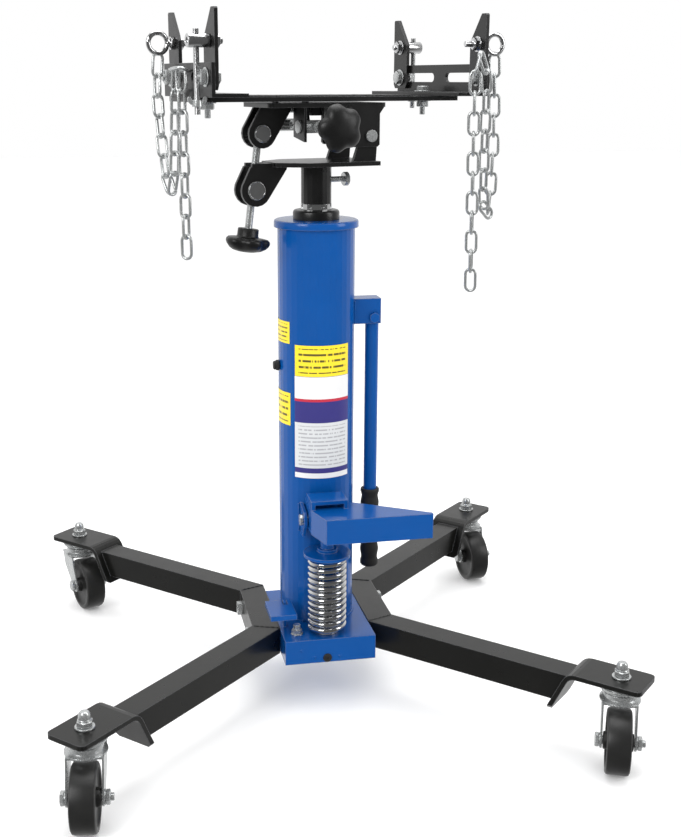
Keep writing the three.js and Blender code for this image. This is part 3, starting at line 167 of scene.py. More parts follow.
NYLON = surface("wheel_nylon", (0.008, 0.008, 0.008), (0.018, 0.018, 0.017), (0.3, 0.5), cloud=35.0,
                grain=1300.0, bump=0.12, bevel=0.0015)
PLUG = surface("blackened_plug", (0.012, 0.012, 0.012), (0.03, 0.03, 0.03), (0.35, 0.6), cloud=90.0,
               bump=0.1)


def anti_slip():
    """Coarse black grit, mottled where dirt has settled in it."""
    mat, tree, bsdf = shade("anti_slip_plate")
    where = node(tree, "ShaderNodeTexCoord").outputs["Object"]
    grit = node(tree, "ShaderNodeTexVoronoi", {"Vector": where, "Scale": 620.0})
    dirt = node(tree, "ShaderNodeTexNoise", {"Vector": where, "Scale": 210.0, "Detail": 6.0})
    mix = node(tree, "ShaderNodeMix", {"Factor": dirt.outputs["Fac"]}, data_type="RGBA")
    mix.inputs[6].default_value = (0.008, 0.008, 0.008, 1)
    mix.inputs[7].default_value = (0.075, 0.075, 0.075, 1)
    tree.links.new(mix.outputs[2], bsdf.inputs["Base Color"])
    relief = node(tree, "ShaderNodeBump", {"Height": grit.outputs["Distance"], "Strength": 0.9,
                  "Distance": 0.0012})
    tree.links.new(relief.outputs[0], bsdf.inputs["Normal"])
    bsdf.inputs["Roughness"].default_value = 0.62
    return mat


GRIT = anti_slip()


def sticker(name, bands, bars, ink, rows, margin=0.07):
    """A printed sticker: bands of colour up its height, and rows of short grey bars where print would be."""
    mat, tree, bsdf = shade(name)
    uv = node(tree, "ShaderNodeTexCoord").outputs["UV"]
    axes = node(tree, "ShaderNodeSeparateXYZ", {0: uv})
    ramp = node(tree, "ShaderNodeValToRGB", {"Fac": axes.outputs["Y"]})
    ramp.color_ramp.interpolation = "CONSTANT"
    for place, (height, colour) in enumerate(bands):
        spot = ramp.color_ramp.elements[place] if place < 2 else ramp.color_ramp.elements.new(height)
        spot.position = height
        spot.color = rgba(colour)

    def maths(kind, first, second):
        return node(tree, "ShaderNodeMath", {0: first, 1: second}, operation=kind).outputs[0]

    row = maths("MULTIPLY", axes.outputs["Y"], float(rows))
    line = maths("FRACT", row, 0.0)
    step = maths("FLOOR", row, 0.0)
    within = maths("MULTIPLY", maths("GREATER_THAN", line, 0.34), maths("LESS_THAN", line, 0.7))
    place = node(tree, "ShaderNodeCombineXYZ", {"X": maths("MULTIPLY", axes.outputs["X"], 26.0),
                 "Y": maths("MULTIPLY", step, 7.3)})
    words = node(tree, "ShaderNodeTexNoise", {"Vector": place.outputs[0], "Scale": 1.0})
    worded = maths("GREATER_THAN", words.outputs["Fac"], 0.43)
    inside = maths("MULTIPLY", maths("GREATER_THAN", axes.outputs["X"], margin),
                   maths("LESS_THAN", axes.outputs["X"], 1 - margin))
    zone = maths("MULTIPLY", maths("GREATER_THAN", axes.outputs["Y"], bars[0]),
                 maths("LESS_THAN", axes.outputs["Y"], bars[1]))
    mask = maths("MULTIPLY", maths("MULTIPLY", within, worded), maths("MULTIPLY", inside, zone))
    mix = node(tree, "ShaderNodeMix", {"Factor": maths("MULTIPLY", mask, bars[2])}, data_type="RGBA")
    tree.links.new(ramp.outputs["Color"], mix.inputs[6])
    mix.inputs[7].default_value = rgba(ink)
    tree.links.new(mix.outputs[2], bsdf.inputs["Base Color"])
    film = node(tree, "ShaderNodeTexNoise", {"Vector": uv, "Scale": 30.0, "Detail": 4.0})
    gloss = node(tree, "ShaderNodeMapRange", {"Value": film.outputs["Fac"], "To Min": 0.22,
                 "To Max": 0.42})
    tree.links.new(gloss.outputs[0], bsdf.inputs["Roughness"])
    bsdf.inputs["Coat Weight"].default_value = 0.3
    return mat


YELLOW = (0.86, 0.66, 0.02)
WHITE = (0.72, 0.72, 0.72)
NAVY = (0.035, 0.03, 0.19)
YELLOW_STICKER = sticker("yellow_sticker", [(0.0, YELLOW), (0.99, YELLOW)], (0.1, 0.9, 0.9),
                         (0.03, 0.03, 0.02), 5)
WHITE_STICKER = sticker(
    "white_and_blue_sticker",
    [(0.0, WHITE), (0.05, NAVY), (0.1, (0.6, 0.61, 0.62)), (0.55, NAVY), (0.755, (0.5, 0.02, 0.05)),
     (0.785, WHITE)],
    (0.13, 0.52, 0.55), (0.16, 0.16, 0.18), 26,
)


# ------------------------------------------------------------------ mesh helpers
def finish_piece(name, bm, mat, body, matrix=None, replaces=(), bevel=0.0, angle=38,
                 closed=True):
    if matrix is not None:
        bm.transform(matrix)
    if closed:
        bmesh.ops.recalc_face_normals(bm, faces=bm.faces)
    mesh = bpy.data.meshes.new(name)
    bm.to_mesh(mesh)
    bm.free()
    obj = bpy.data.objects.new(name, mesh)
    bpy.context.scene.collection.objects.link(obj)
    mesh.materials.append(mat)
    for face in mesh.polygons:
        face.use_smooth = True
    mesh.set_sharp_from_angle(angle=math.radians(angle))
    if bevel:
        mod = obj.modifiers.new("edges", "BEVEL")
        mod.width = bevel / 1000
        mod.segments = 2
        mod.limit_method = "ANGLE"
        mod.angle_limit = math.radians(35)
        mod.harden_normals = True
    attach(obj, body)
    if replaces:
        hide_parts(*replaces)
    return obj


def lathe(bm, profile, matrix=Matrix.Identity(4), sides=48, wave=None):
    """Turns [radius, height] pairs about +Z. wave(angle, z) scales the radius."""
    rings = []
    for r, z in profile:
        if r < 1e-6:
            rings.append([bm.verts.new(matrix @ Vector((0, 0, z)))])
            continue
        ring = []
        for i in range(sides):
            a = 2 * math.pi * i / sides
            k = wave(a, r, z) if wave else 1.0
            ring.append(bm.verts.new(matrix @ Vector((r * k * math.cos(a), r * k * math.sin(a), z))))
        rings.append(ring)
    for low, high in zip(rings, rings[1:]):
        for i in range(sides):
            j = (i + 1) % sides
            corners = [low[i % len(low)], low[j % len(low)], high[j % len(high)], high[i % len(high)]]
            corners = list(dict.fromkeys(corners))
            if len(corners) > 2:
                bm.faces.new(corners)


def rod(bm, r, z0, z1, matrix=Matrix.Identity(4), sides=32, edge=0.6):
    lathe(bm, [(0, z0), (r - edge, z0), (r, z0 + edge), (r, z1 - edge), (r - edge, z1), (0, z1)],
          matrix, sides)


def hexagon(bm, flats, z0, z1, matrix=Matrix.Identity(4)):
    """A chamfered hexagon head or nut."""
    corner = flats / math.sqrt(3)
    c = (corner - flats / 2) * 0.75
    lathe(bm, [(0, z0), (flats / 2 - 0.4, z0), (corner, z0 + c), (corner, z1 - c),
               (flats / 2 - 0.4, z1), (0, z1)], matrix, 6)


def spline(points, step):
    """Points at an even spacing along a Catmull-Rom curve."""
    pts = [Vector(p) for p in points]
    pts = [2 * pts[0] - pts[1], *pts, 2 * pts[-1] - pts[-2]]
    fine = []
    for a, b, c, d in zip(pts, pts[1:], pts[2:], pts[3:]):
        for i in range(24):
            t = i / 24
            fine.append(0.5 * (2 * b + (c - a) * t + (2 * a - 5 * b + 4 * c - d) * t * t
                               + (3 * b - a - 3 * c + d) * t ** 3))
    fine.append(pts[-2])
    out = [fine[0]]
    left = step
    for a, b in zip(fine, fine[1:]):
        gap = (b - a).length
        while gap >= left:
            a = a.lerp(b, left / gap)
            out.append(a)
            gap -= left
            left = step
        left -= gap
    return out


def sweep(bm, points, radius, sides=10, closed=False, matrix=Matrix.Identity(4)):
    """A round bar along a line of points."""
    pts = [Vector(p) for p in points]
    count = len(pts)
    side = None
    rings = []
    for i, p in enumerate(pts):
        before = pts[i - 1] if i or closed else p
        after = pts[(i + 1) % count] if i < count - 1 or closed else p
        t = (after - before).normalized()
        if side is None:
            side = t.orthogonal().normalized()
        side = (side - t * side.dot(t)).normalized()
        up = t.cross(side)
        rings.append([
            bm.verts.new(matrix @ (p + (side * math.cos(a) + up * math.sin(a)) * radius))
            for a in (2 * math.pi * k / sides for k in range(sides))
        ])
    pairs = list(zip(rings, rings[1:])) + ([(rings[-1], rings[0])] if closed else [])
    for low, high in pairs:
        for k in range(sides):
            m = (k + 1) % sides
            bm.faces.new((low[k], low[m], high[m], high[k]))
    if not closed:
        bm.faces.new(rings[0][::-1])
        bm.faces.new(rings[-1])


def stadium(half_length, half_width, steps=6):
    """The closed centre line of a chain link, long way along X."""
    line = []
    for centre, turn in ((half_length - half_width, -90), (-(half_length - half_width), 90)):
        for i in range(steps + 1):
            a = math.radians(turn + 180 * i / steps)
            line.append((centre + half_width * math.cos(a), half_width * math.sin(a), 0))
    return line


def along(a, b):
    """A matrix whose +Z runs from a towards b, and whose origin is a."""
    z = (Vector(b) - Vector(a)).normalized()
    return Matrix.Translation(a) @ z.to_track_quat("Z", "Y").to_matrix().to_4x4()


TO_X = Matrix.Rotation(math.radians(90), 4, "Y")
TO_Y = Matrix.Rotation(math.radians(-90), 4, "X")


def at(x, y, z, turn=Matrix.Identity(4)):
    return Matrix.Translation((x, y, z)) @ turn


# ------------------------------------------------------------------ the CAD nodes that stay
LOOKS = {"blue_paint": BLUE, "black_paint": BLACK, "zinc": ZINC, "chrome": CHROME,
         "knob_plastic": KNOB, "grip_rubber": GRIP, "wheel_nylon": NYLON}
SLOTS = {s["node"]: s["material_slot"] for s in frame["record"]["subparts"]}
for node_name, obj in frame["nodes"].items():
    look = LOOKS[SLOTS[node_name]]
    if node_name.endswith("leg_frame"):
        look = LEG_BLACK
    obj.data.materials.clear()
    obj.data.materials.append(look)
    for face in obj.data.polygons:
        face.use_smooth = True
    obj.data.set_sharp_from_angle(angle=math.radians(32))


# ------------------------------------------------------------------ casters
def caster(corner, x, y, trail):
    place = BASE @ at(x, y, 0, Matrix.Rotation(math.radians(trail), 4, "Z"))
    plate_top = END_PLATE_TOP_Z
    low = END_PLATE_LOW_Z
    bm = bmesh.new()
    lathe(bm, [(0, low - 12), (21, low - 12), (25, low - 10.5), (28.6, low - 7), (29, low - 4),
               (27.5, low - 3.2), (28.5, low - 2.2), (28.5, low - 0.4), (0, low - 0.4)])
    rod(bm, 13, plate_top + 0.3, plate_top + 2.8, edge=0.4)
    hexagon(bm, 19, plate_top + 2.8, plate_top + 11)
    lathe(bm, [(0, plate_top + 10), (8.9, plate_top + 10), (8.9, plate_top + 12), (8, plate_top + 13),
               (8, plate_top + 17), (7.4, plate_top + 20), (5.6, plate_top + 22.6),
               (3, plate_top + 23.4), (0, plate_top + 23.5)], sides=32)
    rod(bm, 6, low - 2, plate_top + 5)
    finish_piece(f"stem_and_dome_nut_{corner}", bm, ZINC, "base", place,
                 [f"caster_stem_{corner}"])

    bm = bmesh.new()
    crown = AXLE_Z + WHEEL_R + 2.5
    lathe(bm, [(0, crown), (27.5, crown), (28, crown + 1), (28, crown + 3.4), (25, crown + 5),
               (23, crown + 7), (23, 110.4), (0, 110.4)])
    for sign in (-1, 1):
        plate_at = sign * 21.6
        outline = [(-24, crown + 3), (-22, crown - 2), (-15, crown - 22)]
        for i in range(11):
            a = math.radians(200 + i * 16)
            outline.append((TRAIL + 11.5 * math.cos(a), AXLE_Z + 11.5 * math.sin(a)))
        outline += [(26, crown - 14), (23, crown - 2), (22, crown + 3)]
        faces = []
        for depth in (plate_at, plate_at + sign * 2.6):
            ring = [bm.verts.new((u, depth, v)) for u, v in outline]
            faces.append(ring)
            bm.faces.new(ring)
        for i in range(len(outline)):
            j = (i + 1) % len(outline)
            bm.faces.new((faces[0][i], faces[0][j], faces[1][j], faces[1][i]))
        end = at(TRAIL, sign * 24.2, AXLE_Z, TO_Y if sign > 0 else TO_Y.inverted())
        rod(bm, 10, 0, 1.4, end, 24, 0.3)
        hexagon(bm, 17, 1.4, 7.4, end)
        if sign > 0:
            rod(bm, 5, 7, 12, end, 20)
    box = bmesh.ops.create_cube(bm, size=1.0)["verts"]
    bmesh.ops.scale(bm, verts=box, vec=(46, 48.4, 2.8))
    bmesh.ops.translate(bm, verts=box, vec=(-1, 0, crown + 1.5))
    rod(bm, 6, -24, 24, at(TRAIL, 0, AXLE_Z, TO_Y), 24)
    finish_piece(f"fork_plates_{corner}", bm, ZINC, f"fork_{corner}", place,
                 [f"caster_fork_{corner}"], bevel=0.6)

    bm = bmesh.new()
    half, hub = 16.5, 20.4
    profile = [(6.5, -hub), (11, -hub), (12, -hub + 1), (12.5, -14), (17, -12.4), (33, -12.4),
               (36, -14), (37, -16), (39, -half), (41.5, -half), (44, -15), (45, -12), (45, 12),
               (44, 15), (41.5, half), (39, half), (37, 16), (36, 14), (33, 12.4), (17, 12.4),
               (12.5, 14), (12, hub - 1), (11, hub), (6.5, hub), (6.5, -hub)]
    lathe(bm, profile, at(TRAIL, 0, AXLE_Z, TO_Y), 64)
    bmesh.ops.remove_doubles(bm, verts=bm.verts, dist=0.001)
    finish_piece(f"wheel_tyre_{corner}", bm, NYLON, f"wheel_{corner}", place,
                 [f"caster_wheel_{corner}"])


for corner_name, (sx, sy, turn) in CASTERS.items():
    caster(corner_name, sx, sy, turn)


# ------------------------------------------------------------------ column: stickers, cap, gland, breather plug
def patch(name, mat, from_deg, to_deg, z0, z1):
    """A thin sticker bent round the column."""
    bm = bmesh.new()
    uv = bm.loops.layers.uv.new("UVMap")
    r = COLUMN_R + 0.25
    steps = 28
    grid = []
    for i in range(steps + 1):
        a = math.radians(from_deg + (to_deg - from_deg) * i / steps)
        grid.append([bm.verts.new((r * math.cos(a), r * math.sin(a), z)) for z in (z0, z1)])
    for i in range(steps):
        face = bm.faces.new((grid[i][0], grid[i + 1][0], grid[i + 1][1], grid[i][1]))
        for loop, (u, v) in zip(face.loops, ((i, 0), (i + 1, 0), (i + 1, 1), (i, 1))):
            loop[uv].uv = (u / steps, v)
    return finish_piece(name, bm, mat, "base", BASE, closed=False, angle=60)


patch("warning_sticker", YELLOW_STICKER, -134, -46, 502.5, 548)
patch("data_sticker", WHITE_STICKER, -134.5, -45.5, 349, 502)
patch("side_sticker_upper", YELLOW_STICKER, -205, -144, 548, 580)
patch("side_sticker_lower", YELLOW_STICKER, -205, -143, 426, 475)

bm = bmesh.new()
cap0 = COLUMN_TOP_Z + GAP
cap1 = cap0 + CAP_THICK
lathe(bm, [(27.4, cap0), (61, cap0), (61.2, cap0 + 1), (61, cap1 - 3), (60.3, cap1 - 1.2),
           (58.6, cap1 - 0.2), (57, cap1), (27.4, cap1), (27.4, cap0)], sides=96)
bmesh.ops.remove_doubles(bm, verts=bm.verts, dist=0.001)
finish_piece("column_cap", bm, BLUE, "base", BASE, ["reservoir_cap"])

bm = bmesh.new()
g0 = cap1 + GAP
g1 = g0 + GLAND_HEIGHT
lathe(bm, [(21.4, g0), (33.5, g0), (33.5, g1 - 4), (32.8, g1 - 2), (31.4, g1 - 0.6), (29, g1),
           (24, g1), (23, g1 - 1), (21.4, g1 - 1), (21.4, g0)], sides=80)
bmesh.ops.remove_doubles(bm, verts=bm.verts, dist=0.001)
finish_piece("gland_nut_ring", bm, BLACK, "base", BASE, ["gland_nut"])

bm = bmesh.new()
rod(bm, 8, 0.3, 5, edge=0.8)
rod(bm, 6.6, 4, 9, edge=1.4, sides=24)
finish_piece("breather_plug", bm, PLUG, "base",
             BASE @ at(-COLUMN_R - 0.1, -4, 511, TO_X.inverted()), ["filler_plug"])


# ------------------------------------------------------------------ base block fittings
bm = bmesh.new()
front = at(-5, BLOCK_FRONT_Y, 89, TO_Y.inverted())
lathe(bm, [(2.4, -1), (2.4, 1.6), (3.8, 2.2), (6.2, 2.0), (6.6, 1.2), (6.6, -1)], front, 32)
rod(bm, 2.5, -0.8, 0.9, front, 6, 0.2)
finish_piece("socket_plug", bm, PLUG, "base", BASE)
for index, (px, pz) in enumerate([(-24, 91), (14, 90), (-44, 103)]):
    bm = bmesh.new()
    lathe(bm, [(0, 1.1), (1.2, 0.9), (2.2, 0.4), (2.6, -0.3)], at(px, BLOCK_FRONT_Y, pz, TO_Y.inverted()),
          24)
    finish_piece(f"ball_plug_{index}", bm, BLUE, "base", BASE, closed=False)
bm = bmesh.new()
valve = at(-46, -88, BLOCK_TOP_Z)
hexagon(bm, 14, 0, 8, valve)
rod(bm, 5.4, 7.5, 15, valve, 24)
rod(bm, 9, -0.2, 1.4, valve, 24, 0.3)
finish_piece("release_valve_screw", bm, ZINC, "base", BASE)


# ------------------------------------------------------------------ welds
def weld(name, points, radius, body, matrix=BASE, mat=LEG_BLACK):
    """A weld bead: a bar whose thickness pulses like laid-down ripples."""
    line = spline(points, 2.4)
    bm = bmesh.new()
    sweep(bm, line, radius, 8)
    bm.verts.ensure_lookup_table()
    for index, vert in enumerate(bm.verts):
        ring = index // 8
        if ring < len(line):
            k = 1 + 0.16 * math.sin(ring * 1.9) + 0.1 * noise.noise(vert.co * 0.35)
            vert.co = line[ring] + (vert.co - line[ring]) * k
    finish_piece(name, bm, mat, body, matrix, angle=70)


for side in (-1, 1):
    word = "left" if side < 0 else "right"
    for end, my in (("front", -59), ("rear", 93)):
        x0, x1 = side * 70, side * 107
        turn_y = 7 if end == "front" else -7
        weld(f"mitre_weld_{word}_{end}", [(x0, my - turn_y, 120.2), ((x0 + x1) / 2, my, 120.2),
             (x1, my + turn_y, 120.2)], 1.5, "base")


# ------------------------------------------------------------------ pump
SPRING_WIRE_R = 3.7
SPRING_R = 25.4


def spring_ring(turns, steps):
    low = BLOCK_TOP_Z + 2 * GAP + SPRING_WIRE_R
    high = SPRING_TOP_Z - GAP - SPRING_WIRE_R
    line = []
    for i in range(turns * steps + 1):
        t = i / (turns * steps)
        a = 2 * math.pi * i / steps
        line.append((SPRING_R * math.cos(a), PUMP_Y + SPRING_R * math.sin(a), low + (high - low) * t))
    return line


bm = bmesh.new()
sweep(bm, spring_ring(12, 32), SPRING_WIRE_R, 14)
spring_wire = finish_piece("spring_wire", bm, CHROME, "piston", BASE, ["pump_spring"], angle=70)
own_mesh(spring_wire)

for side in (-1, 1):
    weld(f"ear_weld_{'left' if side < 0 else 'right'}",
         [(side * 34.6, -44.8, 266), (side * 34.6, -44.8, 288), (side * 34.6, -44.8, 311)], 1.7, "base",
         mat=BLUE)
weld("handle_bracket_weld_front", [(54.6, -15.6, 571), (54.6, -15.6, 588), (54.6, -15.6, 606)], 1.6,
     "base", mat=BLUE)
foot_r = COLUMN_R + 0.6
weld("column_foot_weld", [(foot_r * math.cos(a), foot_r * math.sin(a), BLOCK_TOP_Z + 0.6) for a in
     (math.radians(d) for d in range(-60, 241, 12))], 1.8, "base", mat=BLUE)


# ------------------------------------------------------------------ handle grip
def grip_profile():
    line = [(10.4, 311), (13.2, 311.4), (14.2, 310), (14.4, 306), (13.4, 304)]
    z = 300.0
    while z > 196:
        line.append((12.5 + 1.7 * math.sin((300 - z) / 50 * 2 * math.pi) ** 2, z))
        z -= 3
    return line + [(13.9, 193), (13.8, 188), (12.4, 185.8), (9, 185), (0, 185)]


bm = bmesh.new()
lathe(bm, [(0, 309), (10.4, 309), *grip_profile()], at(HANDLE_X, 0, 0), 40)
finish_piece("ribbed_grip", bm, GRIP, "handle", BASE, ["handle_grip"], angle=60)


# ------------------------------------------------------------------ hand knobs
def knob(name, body, node_name, matrix):
    """A five-lobed knob: its hub is at z = 0 upwards, and the domed side faces down."""
    def lobed(a, r, z):
        reach = max(0.0, min(1.0, (r - 15) / 15))
        wave = 0.5 + 0.5 * math.cos(5 * a + math.pi)
        return 1.0 - 0.155 * reach * (1 - wave) ** 1.6

    bm = bmesh.new()
    lathe(bm, [(6, 0.2), (13.6, 0.2), (14.8, -0.8), (15, -10), (16.5, -12), (24, -12.6),
               (29.5, -13.6), (32.2, -16.4), (32.6, -19.5), (31.2, -23), (27.5, -27), (21, -30.6),
               (12, -32.6), (5, -33), (0, -33)], sides=120, wave=lobed)
    finish_piece(name, bm, KNOB, body, matrix, [node_name], angle=50)


UPPER = Vector((-88, 0, 844))
LOWER = Vector((-98, 0, 767))
screw_down = (LOWER - UPPER).normalized()
knob_place = UPPER + screw_down * 131
knob("roll_hand_knob", "roll_handwheel", "roll_knob",
     HEAD @ along(tuple(knob_place), tuple(UPPER)))
knob("pitch_hand_knob", "pitch_handwheel", "pitch_knob", HEAD @ at(PITCH_X, -86, 853, TO_Y))


def threaded(name, body, replaced, r, z0, z1, matrix, mat=ZINC, pitch=1.75):
    """A screw with a real helical thread."""
    depth = 0.55
    sides = 20
    bm = bmesh.new()
    rings = []
    steps = int((z1 - z0) / (pitch / 4))
    for n in range(steps + 1):
        z = z0 + (z1 - z0) * n / steps
        ring = []
        for k in range(sides):
            a = 2 * math.pi * k / sides
            phase = ((z / pitch) - a / (2 * math.pi)) % 1.0
            rr = r - depth * abs(2 * phase - 1)
            ring.append(bm.verts.new((rr * math.cos(a), rr * math.sin(a), z)))
        rings.append(ring)
    for low, high in zip(rings, rings[1:]):
        for k in range(sides):
            m = (k + 1) % sides
            bm.faces.new((low[k], low[m], high[m], high[k]))
    bm.faces.new(rings[0][::-1])
    bm.faces.new(rings[-1])
    finish_piece(name, bm, mat, body, matrix, replaced, angle=30)


threaded("roll_screw_thread", "roll_handwheel", ["roll_screw"], 5.6, -8, 137,
         HEAD @ along(tuple(knob_place), tuple(UPPER)))


# ------------------------------------------------------------------ pins of the head
def pin_ends(name, body, r, y0, y1, x, z, lip=1.6):
    bm = bmesh.new()
    for a, sign in ((y0, -1), (y1, 1)):
        lathe(bm, [(0, 0), (r - 1, 0), (r - 1, 0.5), (r - lip + 1, 1.2), (r - lip, 1.2), (r - lip, 0.7),
                   (0, 0.5)], at(x, a, z, TO_Y if sign > 0 else TO_Y.inverted()), 40)
    finish_piece(name, bm, BARREL, body, HEAD)


pin_ends("upper_trunnion_faces", "roll_screw_nut", 12, -17.1, 17.1, -88, 844)
pin_ends("lower_trunnion_faces", "roll_guide", 13, -17.1, 17.1, -98, 767)
bm = bmesh.new()
lathe(bm, [(4.4, 0.2), (4.4, 1.5), (9.2, 1.9), (9.9, 1.2), (9.9, -3.8), (9.2, -4.8), (0, -4.9)],
      at(48, 0, 778, TO_X), 40)
lathe(bm, [(4.4, 1.5), (4.2, 0.6), (0, 0.6)], at(48, 0, 778, TO_X), 40)
finish_piece("lock_screw_head", bm, ZINC, "lock_screw", HEAD)


# ------------------------------------------------------------------ saddle top
bm = bmesh.new()
corners = [(-PAD_HALF_X, -PAD_HALF_Y), (PAD_HALF_X, -PAD_HALF_Y), (PAD_HALF_X, PAD_HALF_Y),
           (-PAD_HALF_X, PAD_HALF_Y)]
top = [bm.verts.new((x, y, PAD_TOP_Z + 0.4)) for x, y in corners]
bm.faces.new(top)
bmesh.ops.subdivide_edges(bm, edges=bm.edges, cuts=30, use_grid_fill=True)
for vert in bm.verts:
    vert.co.z += 0.35 * noise.noise(vert.co * 0.9)
base_edges = [e for e in bm.edges if e.is_boundary]
skirt = bmesh.ops.extrude_edge_only(bm, edges=base_edges)
for item in skirt["geom"]:
    if isinstance(item, bmesh.types.BMVert):
        item.co.z = PAD_TOP_Z - 0.2
finish_piece("anti_slip_strip", bm, GRIT, "top_plate", HEAD, closed=False, angle=60)


# ------------------------------------------------------------------ fingers' hardware
Z_SLOT = 918.8
Z_EYE = 963
SIDES = {
    "left": dict(s=-1, face=195, clamp=-28, rear=38, front=-100, eye="rear"),
    "right": dict(s=1, face=205, clamp=20, rear=122, front=-100, eye="front"),
}


def bolt_pair(name, body, x_head, x_far, y, z, flats=17):
    """A bolt through along X: its head at x_head, washer and nut at x_far."""
    sign = 1 if x_head > x_far else -1
    out = TO_X if sign > 0 else TO_X.inverted()
    bm = bmesh.new()
    head = at(x_head, y, z, out)
    hexagon(bm, flats, 1.6, 8, head)
    rod(bm, flats * 0.72, 0.1, 1.6, head, 32, 0.3)
    rod(bm, 5, -abs(x_head - x_far) - 12, 2, head, 24)
    far = at(x_far, y, z, TO_X.inverted() if sign > 0 else TO_X)
    rod(bm, flats * 0.72, 0.1, 1.6, far, 32, 0.3)
    hexagon(bm, flats, 1.6, 9.6, far)
    return finish_piece(name, bm, ZINC, body, HEAD)


for word, d in SIDES.items():
    s, face = d["s"], d["face"]
    inner = s * (face - 5.4)
    outer = s * (face + 5.1)
    for end in ("rear", "front"):
        bolt_pair(f"finger_bolt_{word}_{end}", f"{word}_{end}_finger_body", inner, outer, d[end],
                  Z_SLOT)
    bm = bmesh.new()
    cx = s * (face - 22.8)
    hexagon(bm, 17, 900.4, 907, at(cx, d["clamp"], 0))
    rod(bm, 12, 898.9, 900.4, at(cx, d["clamp"], 0), 32, 0.3)
    rod(bm, 4, 866, 902, at(cx, d["clamp"], 0), 24)
    rod(bm, 12, 885.3, 886.8, at(cx, d["clamp"], 0), 32, 0.3)
    hexagon(bm, 17, 877, 885.3, at(cx, d["clamp"], 0))
    finish_piece(f"bracket_clamp_bolt_{word}", bm, ZINC, f"{word}_bracket_body", HEAD)

    # the eye bolt
    y = d[d["eye"]]
    body = f"{word}_{d['eye']}_finger_body"
    bm = bmesh.new()
    ring = [(s * (face + 22) + 13.2 * math.cos(a), y, Z_EYE + 13.2 * math.sin(a))
            for a in (2 * math.pi * k / 40 for k in range(40))]
    sweep(bm, ring, 3.4, 14, closed=True)
    out = TO_X if s > 0 else TO_X.inverted()
    stub = at(s * face, y, Z_EYE, out)
    rod(bm, 4, -26, 10, stub, 24)
    lathe(bm, [(4, 0.4), (8.6, 0.4), (8.6, 4.6), (5, 6), (4, 6)], stub, 32)
    back = at(s * (face - 5.4), y, Z_EYE, TO_X.inverted() if s > 0 else TO_X)
    rod(bm, 10.6, 0.1, 1.5, back, 32, 0.3)
    hexagon(bm, 15, 1.5, 8.5, back)
    finish_piece(f"eye_bolt_ring_{word}", bm, CHROME, body, HEAD, [f"{word}_eye_bolt"])

    # the barrel and its rod on the other finger
    other = "front" if d["eye"] == "rear" else "rear"
    y = d[other]
    body = f"{word}_{other}_finger_body"
    bm = bmesh.new()
    stub = at(s * face, y, Z_EYE, out)
    lathe(bm, [(0, 0.2), (7.8, 0.2), (8.6, 1), (8.6, 28), (7.9, 29), (4, 29), (3.6, 27.4), (0, 27.4)],
          stub, 48)
    rod(bm, 4, -18, 1, stub, 24)
    back = at(s * (face - 5.4), y, Z_EYE, TO_X.inverted() if s > 0 else TO_X)
    rod(bm, 10.6, 0.1, 1.5, back, 32, 0.3)
    hexagon(bm, 15, 1.5, 8.5, back)
    finish_piece(f"cross_barrel_{word}", bm, BARREL, body, HEAD,
                 [f"{word}_tension_barrel"])
    rod_x = s * (face + 17)
    threaded(f"tension_screw_{word}", f"{word}_rod", [f"{word}_tension_rod"], 4, 873, 977,
             HEAD @ at(rod_x, y, 0), mat=BARREL, pitch=1.5)
    bm = bmesh.new()
    lathe(bm, [(4, 882.6), (7, 882.6), (6.4, 891), (4, 891)], at(rod_x, y, 0), 32)
    for sign in (-1, 1):
        wing = [(4, 884), (9, 885.5), (12.6, 889), (13, 893.5), (11.4, 895.4), (9, 894.4), (6, 890)]
        faces = []
        for depth in (-1.5, 1.5):
            ring = [bm.verts.new((rod_x + sign * u, y + depth, v)) for u, v in wing]
            bm.faces.new(ring)
            faces.append(ring)
        for i in range(len(wing)):
            j = (i + 1) % len(wing)
            bm.faces.new((faces[0][i], faces[0][j], faces[1][j], faces[1][i]))
    finish_piece(f"wing_nut_{word}", bm, ZINC, f"{word}_rod", HEAD, bevel=0.7)


# ------------------------------------------------------------------ chains
LINK_PITCH = 27.0
LINK_WIRE_R = 2.1
LINK_HALF_WIDTH = 9.2


def chain(name, node_name, body, points, roll, end_roll):
    """Welded links along a line, each one turned a quarter against its neighbour."""
    line = spline(points, LINK_PITCH)
    shape = stadium(LINK_PITCH / 2 + LINK_WIRE_R, LINK_HALF_WIDTH - LINK_WIRE_R, 8)
    bm = bmesh.new()
    for index, (a, b) in enumerate(zip(line, line[1:])):
        along_link = (b - a).normalized()
        if index == 0:
            side = along_link.orthogonal().normalized()
            side = Vector((0.35, 1, 0)).normalized() if abs(along_link.z) > 0.5 else side
        side = (side - along_link * side.dot(along_link)).normalized()
        across = side if index % 2 else along_link.cross(side)
        here = roll + (end_roll - roll) * index / (len(line) - 2)
        across = Matrix.Rotation(math.radians(here), 3, along_link) @ across
        normal = along_link.cross(across)
        place = Matrix((along_link, across, normal)).transposed().to_4x4()
        place.translation = (a + b) / 2
        sweep(bm, shape, LINK_WIRE_R, 10, closed=True, matrix=place)
    finish_piece(name, bm, ZINC, body, HEAD, [node_name], angle=60)


